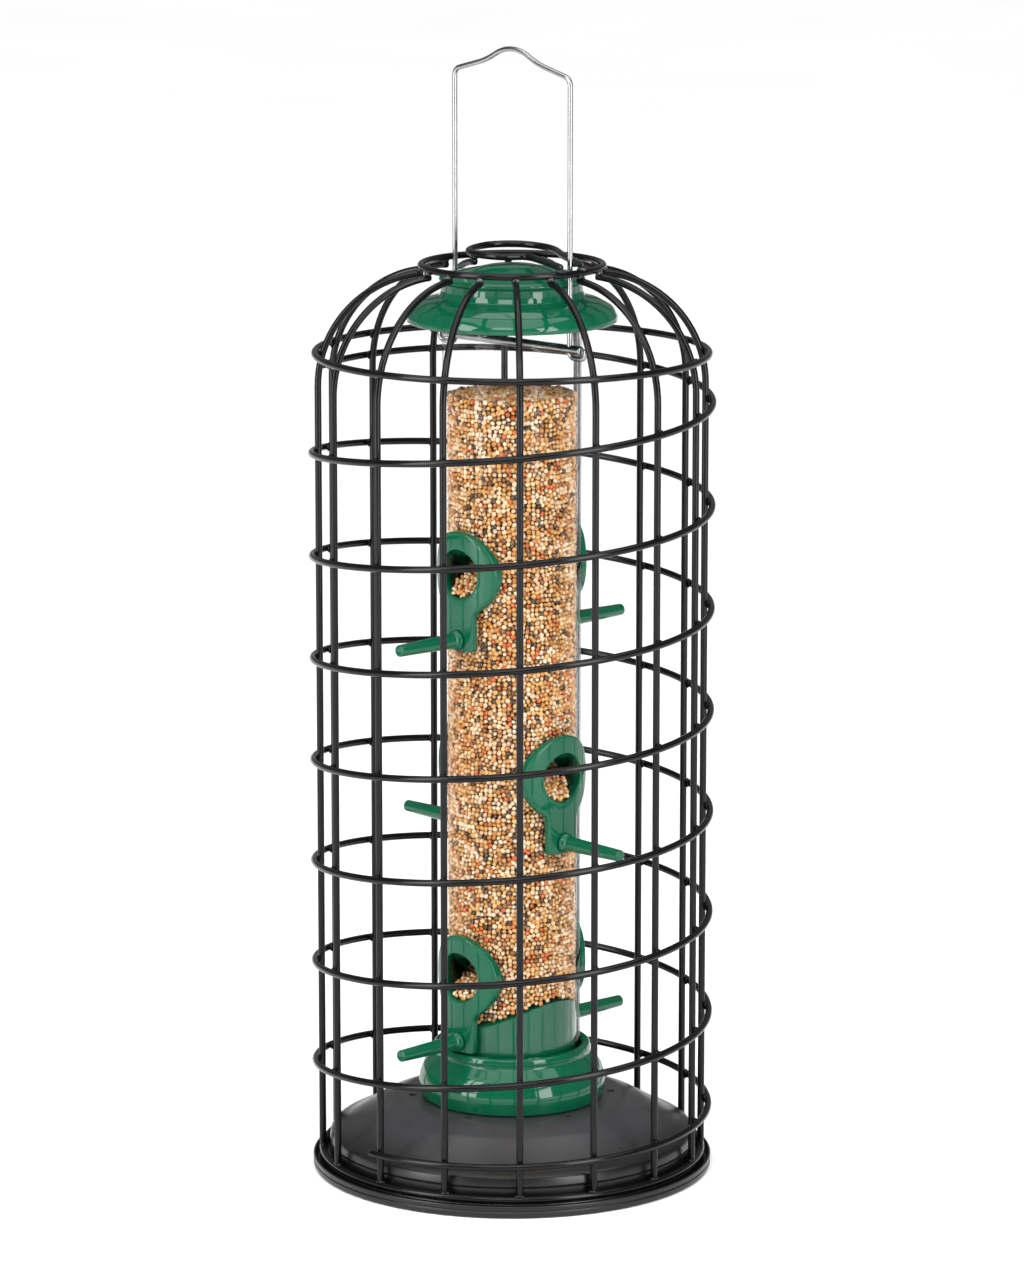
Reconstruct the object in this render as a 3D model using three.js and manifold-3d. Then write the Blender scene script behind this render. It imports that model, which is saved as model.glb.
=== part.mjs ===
// A hanging seed feeder for small birds: a clear tube with six ports and perches, a lid that slides
// on the steel wire handle, and a domed wire cage that stands in a black tray and keeps squirrels out.
// Millimetres, +Z up, origin on the ground under the tube's axis. A turn is measured in degrees from
// the front (-Y) towards +X, and "out" means away from the axis.
import * as THREE from "three";
import { mergeVertices } from "three/addons/utils/BufferGeometryUtils.js";
import Module from "manifold-3d";

const wasm = await Module();
wasm.setup();

// ---- Driving dimensions -------------------------------------------------------------------------
const GAP = 0.3; // between pieces that touch

// Cage wire: bars inside, spiral outside them
const CAGE_WIRE_R = 1.55;
const SPIRAL_R = 88.45;
const BAR_R = SPIRAL_R - 2 * CAGE_WIRE_R - GAP;
const BAR_COUNT = 16;
const CAGE_TURN = 3.3; // of the first bar
const BASE_RING_Z = 7.3;
const DOME_START_Z = 353; // where the bars start to bend inwards
const DOME_BEND_R = 50;
const DOME_BEND = 85.8; // how far they bend, in degrees
const SHOULDER_BEND = 16; // where on the bend the shoulder ring touches
const COLLAR_R = 39.8;
const COLLAR_Z = 406.1;
const SPIRAL_PITCH = 45.87;
const SPIRAL_TOP_Z = 357.7;
const SPIRAL_EASE_IN = [0.15, 0.35]; // turns over which the level start takes up the pitch
const SPIRAL_EASE_OUT = [7.2, 7.95]; // turns over which the pitch fades to level
const SPIRAL_ZERO_TURN = 226; // the turn at which the spiral's count of turns is 0

// Tube, seed, rod and handle
const TUBE_R = 30.5;
const TUBE_BORE_R = 29;
const TUBE_BOTTOM_Z = 36.1;
const TUBE_TOP_Z = 383.5;
const SEED_TOP_Z = 349;
const ROD_TURN = 2.8;
const ROD_R = 2;
const ROD_Z = 372.3;
const ROD_HALF_LENGTH = 41.5;
const BAIL_WIRE_R = 1.15;
const BAIL_HALF_WIDTH = 34.4;
const BAIL_TOP_Z = 500.4; // of the wire's centre line
const BAIL_HOLE_R = 1.5;

// Ports and perches
const PORT_PITCH_Z = 91; // the lowest ports are also this high above the ground
const PORT_HOLE_R = 11;
const PORT_HEAD_R = 18.85;
const PORT_STEM_HALF_WIDTH = 8.5;
const PORT_STEM_DROP = 34;
const PORT_PLATE_R = TUBE_R + GAP;
const PORT_PLATE_T = 2.8;
const PERCH_DROP = 29.3; // of the perch below the hole's centre
const PERCH_TIP_R = 68.4;
const PEG_R = 2.8;
const PEG_INNER_R = 24;

// Base
const CUP_SOCKET_R = TUBE_R + 0.4;
const CUP_BOTTOM_Z = 31.9;
const CUP_FLOOR_Z = 35.8;
const ROOF_CROWN_Z = 79.3; // of the baffle's roof, along the Y axis
const ROOF_FALL = 0.0143; // the roof is this much lower for each square millimetre of X
const BAFFLE_WALL = 1.5;
const TRAY_T = 1;
const TRAY_TOP_Z = 31.5;
const DRAIN_HOLES = 6;
const DRAIN_HOLE_R = 1.75;
const DRAIN_CIRCLE_R = 44.5;
const BOLT_R = 2;

const ROUND = 32; // sides of the large round parts, a multiple of the number of bars
const WIRE_SIDES = 6;
const PORT_SIDES = 14;

// ---- Materials ----------------------------------------------------------------------------------
const paint = (color, roughness, metalness = 0, opacity = 1) =>
  new THREE.MeshStandardMaterial({ color, roughness, metalness, opacity, transparent: opacity < 1 });
const BLACK_PAINT = paint(0x1a1b1e, 0.4, 0.3);
const GREEN_PLASTIC = paint(0x0b6b42, 0.2);
const CLEAR_PLASTIC = paint(0xf2f6f8, 0.05, 0, 0.25);
const STEEL = paint(0xb8bbbf, 0.3, 1);
const SEED = paint(0xd9a860, 0.8);

// ---- Helpers ------------------------------------------------------------------------------------
const feeder = new THREE.Group();
const rad = THREE.MathUtils.degToRad;
const around = (r, turn, z) =>
  new THREE.Vector3(r * Math.sin(rad(turn)), -r * Math.cos(rad(turn)), z);

function add(name, geometry, material) {
  const mesh = new THREE.Mesh(geometry, material);
  mesh.name = name;
  feeder.add(mesh);
}

function toSolid(geometry) {
  const bare = new THREE.BufferGeometry();
  bare.setAttribute("position", geometry.getAttribute("position"));
  bare.setIndex(geometry.index);
  const merged = mergeVertices(bare, 1e-4);
  const vertProperties = merged.attributes.position.array;
  const triVerts = new Uint32Array(merged.index.array);
  return new wasm.Manifold(new wasm.Mesh({ numProp: 3, vertProperties, triVerts }));
}

function toGeometry(solid) {
  const { vertProperties, triVerts } = solid.getMesh();
  const geometry = new THREE.BufferGeometry();
  geometry.setAttribute("position", new THREE.BufferAttribute(vertProperties, 3));
  geometry.setIndex(new THREE.BufferAttribute(triVerts, 1));
  geometry.computeVertexNormals();
  return geometry;
}

// A path that an extrusion follows with one section at each of its points.
class Route extends THREE.Curve {
  constructor(points) {
    super();
    this.points = points;
  }
  getPoint(t, target = new THREE.Vector3()) {
    const place = t * (this.points.length - 1);
    const i = Math.min(Math.floor(place + 1e-6), this.points.length - 2);
    return target.lerpVectors(this.points[i], this.points[i + 1], place - i);
  }
  getPointAt(t, target) {
    return this.getPoint(t, target);
  }
  getTangentAt(t, target = new THREE.Vector3()) {
    const last = this.points.length - 1;
    const i = Math.round(t * last);
    const into = this.points[Math.max(i, 1)].clone().sub(this.points[Math.max(i - 1, 0)]);
    const onward = this.points[Math.min(i + 1, last)].clone().sub(this.points[Math.min(i, last - 1)]);
    return target.addVectors(into.normalize(), onward.normalize()).normalize();
  }
}

function wire(points, radius, sides = WIRE_SIDES) {
  const corners = Array.from({ length: sides }, (_, i) =>
    new THREE.Vector2(radius, 0).rotateAround(new THREE.Vector2(), (2 * Math.PI * i) / sides),
  );
  return new THREE.ExtrudeGeometry(new THREE.Shape(corners), {
    steps: points.length - 1,
    extrudePath: new Route(points),
  });
}

// A closed outline of [radius, height] pairs turned about the Z axis.
function turned(outline, sides = ROUND) {
  const profile = outline.map(([r, z]) => new THREE.Vector2(r, z));
  return new THREE.LatheGeometry(profile, sides).rotateX(Math.PI / 2);
}

// A closed outline of [radius, distance out] pairs turned about a line from the axis at height z.
function turnedOutwards(outline, sides, turn, z) {
  const profile = outline.map(([r, out]) => new THREE.Vector2(r, out));
  return new THREE.LatheGeometry(profile, sides)
    .rotateZ(Math.PI + rad(turn))
    .translate(0, 0, z);
}

const cylinder = (r, bottom, top, sides = ROUND) =>
  turned([[0, bottom], [r, bottom], [r, top], [0, top]], sides);

const radialPin = (r, from, to, turn, z, sides = 8) =>
  turnedOutwards([[0, from], [r, from], [r, to], [0, to]], sides, turn, z);

// A filleted path through corner points in a plane, with each corner's own radius.
function filleted(corners, steps) {
  const path = [corners[0].at];
  for (let i = 1; i < corners.length - 1; i++) {
    const { at, r } = corners[i];
    const back = corners[i - 1].at.clone().sub(at).normalize();
    const on = corners[i + 1].at.clone().sub(at).normalize();
    const half = back.angleTo(on) / 2;
    const reach = r / Math.tan(half);
    const middle = back.clone().add(on).normalize().multiplyScalar(r / Math.sin(half)).add(at);
    const first = back.multiplyScalar(reach).add(at);
    const turn = Math.PI - 2 * half;
    const side = on.clone().multiplyScalar(reach).add(at).sub(middle);
    const start = first.clone().sub(middle);
    const sense = Math.sign(start.cross(side));
    for (let k = 0; k <= steps; k++) {
      const spoke = start.clone().rotateAround(new THREE.Vector2(), (sense * turn * k) / steps);
      path.push(spoke.add(middle));
    }
  }
  path.push(corners.at(-1).at);
  return path;
}

// ---- Cage ---------------------------------------------------------------------------------------
const BAR_STEP = 360 / BAR_COUNT;
const DOME_CENTRE_R = BAR_R - DOME_BEND_R;
const DOME_STEPS = 7;

function barPoints(turn) {
  const points = [around(BAR_R, turn, BASE_RING_Z + 2 * CAGE_WIRE_R + GAP - CAGE_WIRE_R)];
  for (let i = 0; i <= DOME_STEPS; i++) {
    const bend = rad((DOME_BEND * i) / DOME_STEPS);
    const r = DOME_CENTRE_R + DOME_BEND_R * Math.cos(bend);
    points.push(around(r, turn, DOME_START_Z + DOME_BEND_R * Math.sin(bend)));
  }
  return points;
}

for (let i = 0; i < BAR_COUNT; i++) {
  const name = "cage_bar_" + String(i + 1).padStart(2, "0");
  add(name, wire(barPoints(CAGE_TURN + i * BAR_STEP), CAGE_WIRE_R), BLACK_PAINT);
}

function cageRing(name, r, z) {
  const ring = new THREE.TorusGeometry(r, CAGE_WIRE_R, WIRE_SIDES, ROUND);
  add(name, ring.rotateZ(rad(CAGE_TURN - 90)).translate(0, 0, z), BLACK_PAINT);
}

const shoulderReach = DOME_BEND_R + 2 * CAGE_WIRE_R + GAP;
cageRing("base_ring", BAR_R, BASE_RING_Z);
cageRing(
  "shoulder_ring",
  DOME_CENTRE_R + shoulderReach * Math.cos(rad(SHOULDER_BEND)),
  DOME_START_Z + shoulderReach * Math.sin(rad(SHOULDER_BEND)),
);
cageRing("collar_ring", COLLAR_R, COLLAR_Z);

// Height of the spiral after a count of turns: level, then falling at its pitch, then level again.
function spiralZ(turns) {
  const [in0, in1] = SPIRAL_EASE_IN;
  const [out0, out1] = SPIRAL_EASE_OUT;
  const eased = THREE.MathUtils.clamp(turns, in0, in1) - in0;
  const steady = THREE.MathUtils.clamp(turns, in1, out0) - in1;
  const fading = THREE.MathUtils.clamp(turns, out0, out1) - out0;
  const fall =
    eased ** 2 / (2 * (in1 - in0)) + steady + fading - fading ** 2 / (2 * (out1 - out0));
  return SPIRAL_TOP_Z - SPIRAL_PITCH * fall;
}

// The spiral runs from bar to bar with a section at each bar and halfway between, so its stations
// are counted in half bar steps. It is divided halfway between two bars, once in each turn.
const SPIRAL_START_TURN = CAGE_TURN + 9 * BAR_STEP;
const STATION_STEP = BAR_STEP / 2;
const SPIRAL_STATIONS = 250;
const SPIRAL_CUTS = [0, 31, 63, 95, 127, 159, 191, 223, SPIRAL_STATIONS];
const SPIRAL_OVERHANG = 0.2; // of each free end past its bar, in stations

function spiralPoint(station) {
  const turn = SPIRAL_START_TURN - station * STATION_STEP;
  return around(SPIRAL_R, turn, spiralZ((SPIRAL_ZERO_TURN - turn) / 360));
}

for (let i = 1; i < SPIRAL_CUTS.length; i++) {
  const [from, to] = [SPIRAL_CUTS[i - 1], SPIRAL_CUTS[i]];
  const pull = GAP / 2 / (SPIRAL_R * rad(STATION_STEP));
  const stations = [from === 0 ? -SPIRAL_OVERHANG : from + pull];
  for (let s = from + (from === 0 ? 0 : 1); s < to; s++) stations.push(s);
  if (to === SPIRAL_STATIONS) stations.push(to, to + SPIRAL_OVERHANG);
  else stations.push(to - pull);
  add("spiral_turn_" + i, wire(stations.map(spiralPoint), CAGE_WIRE_R), BLACK_PAINT);
}

// A bent wire loop lies on the collar, round one leg of the handle: its two feet on the collar, and
// a teardrop that rises a little towards the back.
const LOOP_FOOT_Z = COLLAR_Z + 2 * CAGE_WIRE_R + GAP;
const loopPath = new THREE.CatmullRomCurve3([
  around(40.6, -12.9, LOOP_FOOT_Z),
  new THREE.Vector3(-1.5, -22, LOOP_FOOT_Z + 0.2),
  new THREE.Vector3(2.5, -6, LOOP_FOOT_Z + 0.5),
  new THREE.Vector3(-6.5, 0, LOOP_FOOT_Z + 0.7),
  new THREE.Vector3(-9.4, 12.5, LOOP_FOOT_Z + 1),
  new THREE.Vector3(-4.8, 22.2, LOOP_FOOT_Z + 1.4),
  new THREE.Vector3(11, 26.4, LOOP_FOOT_Z + 2),
  new THREE.Vector3(23, 18.6, LOOP_FOOT_Z + 2),
  new THREE.Vector3(26.4, 3.9, LOOP_FOOT_Z + 1.4),
  new THREE.Vector3(16.5, -16, LOOP_FOOT_Z + 0.4),
  around(40.6, 4.6, LOOP_FOOT_Z),
]);
const LOOP_STEPS = 28;
add("top_loop", wire(loopPath.getSpacedPoints(LOOP_STEPS), CAGE_WIRE_R), BLACK_PAINT);

// ---- Tray and its bolt --------------------------------------------------------------------------
// One pressed sheet: a flat top under the cup, a cone, a rounded shoulder, a ledge that carries the
// cage's base ring, a drip channel and a rolled lip.
const LEDGE_Z = BASE_RING_Z - CAGE_WIRE_R - GAP;
const trayTop = [
  [0, TRAY_TOP_Z],
  [49, TRAY_TOP_Z],
  [54, 30.4],
  [60, 27.8],
  [68.5, 22.8],
  [75, 18.8],
  [80.1, 17.3],
  [81.5, 15.8],
  [81.9, 12.2],
  [81.5, 11.2],
  [81.5, LEDGE_Z],
  [85.4, LEDGE_Z],
  [85.8, TRAY_T],
  [88, TRAY_T],
  [88.3, 5],
  [88.8, 5.4],
];
const trayUnder = [
  [89.3, 5],
  [89.3, 0.5],
  [88.8, 0],
  [84.8, 0],
  [84.5, LEDGE_Z - TRAY_T],
  [80.5, LEDGE_Z - TRAY_T],
  [80.5, 15.3],
  [79.6, 16.2],
  [74.5, 17.9],
  [68, 21.9],
  [59.5, 26.8],
  [53.7, 29.4],
  [48.9, TRAY_TOP_Z - TRAY_T],
  [0, TRAY_TOP_Z - TRAY_T],
];
let tray = toSolid(turned([...trayUnder.reverse(), ...trayTop.reverse()]));
const cutHeight = [TRAY_TOP_Z - 5, TRAY_TOP_Z + 5];
tray = tray.subtract(toSolid(cylinder(BOLT_R + 0.4, ...cutHeight, 12)));
for (let i = 0; i < DRAIN_HOLES; i++) {
  const { x, y } = around(DRAIN_CIRCLE_R, -10 + (i * 360) / DRAIN_HOLES, 0);
  const drill = cylinder(DRAIN_HOLE_R, ...cutHeight, 8).translate(x, y, 0);
  tray = tray.subtract(toSolid(drill));
}
add("tray", toGeometry(tray), BLACK_PAINT);

const WASHER_Z = [29.4, TRAY_TOP_Z - TRAY_T - GAP];
const washer = [[BOLT_R + 0.3, WASHER_Z[0]], [6, WASHER_Z[0]], [6, WASHER_Z[1]], [BOLT_R + 0.3, WASHER_Z[1]]];
add("tray_washer", turned([...washer, washer[0]], 16), STEEL);

const HEAD_TOP_Z = WASHER_Z[0] - GAP;
const NUT_Z = [CUP_FLOOR_Z + GAP, CUP_FLOOR_Z + GAP + 3.5];
const boltOutline = [
  [0, HEAD_TOP_Z - 2.6],
  [3.2, HEAD_TOP_Z - 2.2],
  [4, HEAD_TOP_Z - 0.8],
  [4, HEAD_TOP_Z],
  [BOLT_R, HEAD_TOP_Z],
  [BOLT_R, NUT_Z[1] + 1.5],
  [0, NUT_Z[1] + 1.5],
];
add("tray_bolt", turned(boltOutline, 12), STEEL);
const nut = toSolid(cylinder(4.6, ...NUT_Z, 6)).subtract(
  toSolid(cylinder(BOLT_R + GAP, NUT_Z[0] - 1, NUT_Z[1] + 1, 16)),
);
add("tray_nut", toGeometry(nut), STEEL);

// ---- Base cup -----------------------------------------------------------------------------------
const cupOutline = [
  [0, CUP_BOTTOM_Z],
  [8, CUP_BOTTOM_Z],
  [8, 34],
  [CUP_SOCKET_R + 1.7, 34],
  [CUP_SOCKET_R + 1.7, 49],
  [33.8, 51],
  [38.6, 40],
  [39.3, CUP_BOTTOM_Z],
  [40.4, CUP_BOTTOM_Z],
  [41.2, 33.8],
  [41.1, 36.6],
  [40.3, 41],
  [37.8, 47.5],
  [34.3, 54.6],
  [33, 56.1],
  [CUP_SOCKET_R, 55.8],
  [CUP_SOCKET_R, CUP_FLOOR_Z],
  [0, CUP_FLOOR_Z],
];
const cup = toSolid(turned(cupOutline)).subtract(
  toSolid(cylinder(BOLT_R + 0.4, CUP_BOTTOM_Z - 1, CUP_FLOOR_Z + 1, 16)),
);
add("base_cup", toGeometry(cup), GREEN_PLASTIC);

// ---- Ports: three levels of two, each level a quarter turn on from the one below -------------------
const PORTS = [
  ["low_left", -90, 1],
  ["low_right", 90, 1],
  ["mid_front", 0, 2],
  ["mid_back", 180, 2],
  ["top_left", -90, 3],
  ["top_right", 90, 3],
].map(([name, turn, level]) => ({ name, turn, z: level * PORT_PITCH_Z }));

// The space above or below a plane that runs through a point and rises outwards, seen at turn 0.
function halfSpace(side, out, z, rise) {
  const SIZE = 80;
  return toSolid(
    new THREE.BoxGeometry(SIZE, SIZE, SIZE)
      .translate(0, 0, (side * SIZE) / 2)
      .rotateX(-rad(rise))
      .translate(0, -out, z),
  );
}
const ABOVE = 1;
const BELOW = -1;

const HOOD_R = PORT_HOLE_R + 1.2;
const HOOD_INNER_R = 17;
const HOOD_ROOF_RISE = 46; // the hood's roof rises outwards, so seed slides over it
const SEED_SLOPE = -31; // seed in a port slopes down outwards
const SEED_DROP = 10.5; // of the seed's slope below the hole's centre, at the tube's wall

function portSolid() {
  const head = new THREE.Shape();
  const stemAngle = Math.asin(PORT_STEM_HALF_WIDTH / PORT_HEAD_R);
  head.absarc(0, 0, PORT_HEAD_R, -Math.PI / 2 + stemAngle, 1.5 * Math.PI - stemAngle);
  head.lineTo(-PORT_STEM_HALF_WIDTH, -PORT_STEM_DROP + 4);
  head.lineTo(-PORT_STEM_HALF_WIDTH + 3.5, -PORT_STEM_DROP);
  head.lineTo(PORT_STEM_HALF_WIDTH - 3.5, -PORT_STEM_DROP);
  head.lineTo(PORT_STEM_HALF_WIDTH, -PORT_STEM_DROP + 4);
  const slab = new THREE.ExtrudeGeometry(head, {
    depth: 20,
    bevelEnabled: false,
    curveSegments: 6,
  });
  slab.rotateX(Math.PI / 2).translate(0, -20, 0);
  const outerR = PORT_PLATE_R + PORT_PLATE_T;
  const shell = toSolid(cylinder(outerR, -40, 40)).subtract(
    toSolid(cylinder(PORT_PLATE_R, -41, 41)),
  );
  const plate = toSolid(slab).intersect(shell);
  const scoop = toSolid(radialPin(HOOD_R, HOOD_INNER_R, PORT_PLATE_R + 1, 0, 0, PORT_SIDES))
    .subtract(halfSpace(ABOVE, PORT_PLATE_R, PORT_HOLE_R + 1, HOOD_ROOF_RISE))
    .subtract(halfSpace(BELOW, TUBE_BORE_R, 0.4 - SEED_DROP, SEED_SLOPE));
  const throat = toSolid(radialPin(PORT_HOLE_R, 5, 45, 0, 0, PORT_SIDES));
  const underRoof = halfSpace(BELOW, PORT_PLATE_R, PORT_HOLE_R - 0.8, HOOD_ROOF_RISE);
  const beyondWall = toSolid(radialPin(PORT_HOLE_R, TUBE_BORE_R, 45, 0, 0, PORT_SIDES));
  const pegHole = toSolid(radialPin(PEG_R + GAP, 20, 45, 0, -PERCH_DROP));
  return plate
    .add(scoop.subtract(throat.intersect(underRoof)))
    .subtract(beyondWall)
    .subtract(pegHole);
}
const port = portSolid();

// Where a port and its perch take the place of the tube's wall, and of the seed
const portWindow = toSolid(radialPin(HOOD_R + 0.4, 20, 40, 0, 0, PORT_SIDES));
const pegWindow = toSolid(radialPin(PEG_R + 0.4, PEG_INNER_R - GAP, 40, 0, -PERCH_DROP));
const hoodSpace = toSolid(radialPin(HOOD_R + GAP, HOOD_INNER_R - GAP, 40, 0, 0, PORT_SIDES))
  .subtract(halfSpace(ABOVE, PORT_PLATE_R, PORT_HOLE_R + 1.6, HOOD_ROOF_RISE))
  .subtract(halfSpace(BELOW, TUBE_BORE_R, -SEED_DROP, SEED_SLOPE));

const placed = (solid, { turn, z }) => solid.rotate([0, 0, turn]).translate([0, 0, z]);

const perchOutline = [
  [0, PEG_INNER_R],
  [PEG_R - 0.4, PEG_INNER_R],
  [PEG_R, PEG_INNER_R + 0.8],
  [PEG_R, PORT_PLATE_R + PORT_PLATE_T + GAP],
  [4.6, PORT_PLATE_R + PORT_PLATE_T + GAP],
  [4.6, PORT_PLATE_R + PORT_PLATE_T + 1.6],
  [3.3, PORT_PLATE_R + PORT_PLATE_T + 3.4],
  [2.55, PERCH_TIP_R - 1.8],
  [1.7, PERCH_TIP_R - 0.3],
  [0, PERCH_TIP_R],
];

for (const place of PORTS) {
  add("port_" + place.name, toGeometry(placed(port, place)), GREEN_PLASTIC);
  const perch = turnedOutwards(perchOutline, 8, place.turn, place.z - PERCH_DROP);
  add("perch_" + place.name, perch, GREEN_PLASTIC);
}

// ---- Tube, baffle and seed ----------------------------------------------------------------------
let tube = toSolid(cylinder(TUBE_R, TUBE_BOTTOM_Z, TUBE_TOP_Z)).subtract(
  toSolid(cylinder(TUBE_BORE_R, TUBE_BOTTOM_Z - 1, TUBE_TOP_Z + 1)),
);
for (const place of PORTS) {
  tube = tube.subtract(placed(portWindow, place)).subtract(placed(pegWindow, place));
}
for (const turn of [ROD_TURN, ROD_TURN + 180]) {
  tube = tube.subtract(toSolid(radialPin(ROD_R + 0.4, 20, 40, turn, ROD_Z)));
}
add("seed_tube", toGeometry(tube), CLEAR_PLASTIC);

// The space under a rounded roof that runs from front to back and falls to the low ports.
function underRoof(crownZ) {
  const REACH = 40;
  const STEPS = 16;
  const gable = [new THREE.Vector2(-REACH, 0), new THREE.Vector2(REACH, 0)];
  for (let i = 0; i <= STEPS; i++) {
    const x = REACH * (1 - (2 * i) / STEPS);
    gable.push(new THREE.Vector2(x, crownZ - ROOF_FALL * x * x));
  }
  const prism = new THREE.ExtrudeGeometry(new THREE.Shape(gable), {
    depth: 2 * REACH,
    bevelEnabled: false,
  });
  return toSolid(prism.rotateX(Math.PI / 2).translate(0, REACH, 0));
}
const SEED_R = TUBE_BORE_R - GAP;
let baffle = toSolid(cylinder(SEED_R, TUBE_BOTTOM_Z, ROOF_CROWN_Z + 1))
  .intersect(underRoof(ROOF_CROWN_Z))
  .subtract(
    toSolid(cylinder(SEED_R - BAFFLE_WALL, TUBE_BOTTOM_Z - 1, ROOF_CROWN_Z + 1)).intersect(
      underRoof(ROOF_CROWN_Z - BAFFLE_WALL),
    ),
  );
for (const place of PORTS.slice(0, 2)) baffle = baffle.subtract(placed(pegWindow, place));
add("baffle", toGeometry(baffle), GREEN_PLASTIC);

const seedOutline = [
  [0, TUBE_BOTTOM_Z],
  [SEED_R, TUBE_BOTTOM_Z],
  [SEED_R, SEED_TOP_Z - 1],
  [15, SEED_TOP_Z + 0.5],
  [0, SEED_TOP_Z + 1.5],
];
let seed = toSolid(turned(seedOutline)).subtract(underRoof(ROOF_CROWN_Z + 0.4));
for (const place of PORTS) {
  seed = seed.subtract(placed(hoodSpace, place)).subtract(placed(pegWindow, place));
}
add("seed_fill", toGeometry(seed), SEED);

// ---- Cross rod and wire handle --------------------------------------------------------------------
const rodEnd = ROD_HALF_LENGTH - ROD_R;
const rodCap = (sense) =>
  [0, 30, 60].map((a) => [
    ROD_R * Math.cos(rad(a)),
    sense * (rodEnd + ROD_R * Math.sin(rad(a))),
  ]);
const rodOutline = [
  [0, -ROD_HALF_LENGTH],
  ...rodCap(-1).reverse(),
  ...rodCap(1),
  [0, ROD_HALF_LENGTH],
];
let rod = toSolid(turnedOutwards(rodOutline, 12, ROD_TURN, ROD_Z));
for (const side of [-1, 1]) {
  const { x, y } = around(side * BAIL_HALF_WIDTH, ROD_TURN, 0);
  const drill = cylinder(BAIL_HOLE_R, ROD_Z - 5, ROD_Z + 5, 8).translate(x, y, 0);
  rod = rod.subtract(toSolid(drill));
}
add("cross_rod", toGeometry(rod), STEEL);

// The handle's wire lies in one upright plane: a hook under each end of the rod, two straight legs,
// and a shallow roof with a small hump in its middle for the hanger's hook.
const HOOK_Z = ROD_Z - ROD_R - BAIL_WIRE_R - 0.45;
const corner = (x, z, r = 0) => ({ at: new THREE.Vector2(x, z), r });
const halfBail = [
  corner(43.9, ROD_Z + 1),
  corner(43.1, HOOK_Z, 3.5),
  corner(BAIL_HALF_WIDTH, HOOK_Z, 2.5),
  corner(BAIL_HALF_WIDTH, 489.6, 4),
  corner(15.5, 494.6, 9),
  corner(5, BAIL_TOP_Z, 5),
];
const otherHalf = halfBail.map(({ at, r }) => corner(-at.x, at.y, r)).reverse();
const bailPath = filleted([...halfBail, ...otherHalf], 3).map(({ x, y }) => around(x, ROD_TURN, y));
add("bail", wire(bailPath, BAIL_WIRE_R), STEEL);

// ---- Lid ----------------------------------------------------------------------------------------
// A thin moulding: a domed brim, a neck, a bulged tier and a low crown. The neck's foot rests on the
// tube's rim, inside a short skirt.
const LID_SEAT_Z = TUBE_TOP_Z + GAP;
const lidOutline = [
  [0, 404.1],
  [19, 403.3],
  [29.2, 400.4],
  [29.2, LID_SEAT_Z],
  [TUBE_R + 0.4, LID_SEAT_Z],
  [TUBE_R + 0.4, 381.8],
  [32.1, 381.8],
  [32.1, 391.2],
  [39.8, 388.6],
  [43.6, 385.6],
  [44.7, 381.5],
  [45.9, 381.5],
  [46.3, 382.9],
  [46.1, 384.5],
  [43, 388.5],
  [38.4, 390.9],
  [32.6, 392.8],
  [31, 395.6],
  [31, 397.7],
  [32, 400.1],
  [31.4, 401.9],
  [20.6, 404],
  [19.2, 404.9],
  [0, 405.6],
];
let lid = toSolid(turned(lidOutline));
for (const side of [-1, 1]) {
  const { x, y } = around(side * BAIL_HALF_WIDTH, ROD_TURN, 0);
  lid = lid.subtract(toSolid(cylinder(BAIL_WIRE_R + 0.7, 385, 397, 12).translate(x, y, 0)));
}
add("lid", toGeometry(lid), GREEN_PLASTIC);

export default feeder;
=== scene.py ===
# A hanging seed feeder for small birds: a clear tube full of mixed seed, with green ports, perches,
# base and lid, hung from a bright wire handle inside a black wire cage that stands in a black tray.
#
# Lengths are in millimetres until a mesh is made, which is in metres. A turn is in degrees from the
# front (-Y) towards +X, and "out" means away from the tube's axis.
import math
import random

import bmesh
import bpy
import numpy as np
from mathutils import Euler, Matrix, Vector
from mathutils.kdtree import KDTree


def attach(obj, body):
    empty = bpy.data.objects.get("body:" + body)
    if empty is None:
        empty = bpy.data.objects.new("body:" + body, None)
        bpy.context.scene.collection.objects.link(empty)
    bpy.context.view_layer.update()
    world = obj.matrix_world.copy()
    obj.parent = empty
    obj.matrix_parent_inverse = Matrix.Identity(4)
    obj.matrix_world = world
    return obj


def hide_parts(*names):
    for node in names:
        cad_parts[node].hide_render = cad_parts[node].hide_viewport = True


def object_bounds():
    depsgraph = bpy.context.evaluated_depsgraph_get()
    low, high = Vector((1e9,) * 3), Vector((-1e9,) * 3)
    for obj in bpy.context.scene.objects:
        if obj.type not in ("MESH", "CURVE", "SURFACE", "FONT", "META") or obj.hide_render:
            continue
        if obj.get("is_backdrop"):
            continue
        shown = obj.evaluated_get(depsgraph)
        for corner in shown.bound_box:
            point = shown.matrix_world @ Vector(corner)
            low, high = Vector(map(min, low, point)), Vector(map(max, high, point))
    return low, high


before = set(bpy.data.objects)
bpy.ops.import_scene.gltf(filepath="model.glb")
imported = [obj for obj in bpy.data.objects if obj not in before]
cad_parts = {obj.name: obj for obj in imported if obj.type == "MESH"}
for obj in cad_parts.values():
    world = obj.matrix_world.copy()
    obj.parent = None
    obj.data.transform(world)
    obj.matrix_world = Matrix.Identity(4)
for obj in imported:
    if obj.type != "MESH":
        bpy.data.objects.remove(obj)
cad_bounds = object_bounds()

MM = 0.001
GAP = 0.3  # left in the CAD model between pieces that touch

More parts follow.
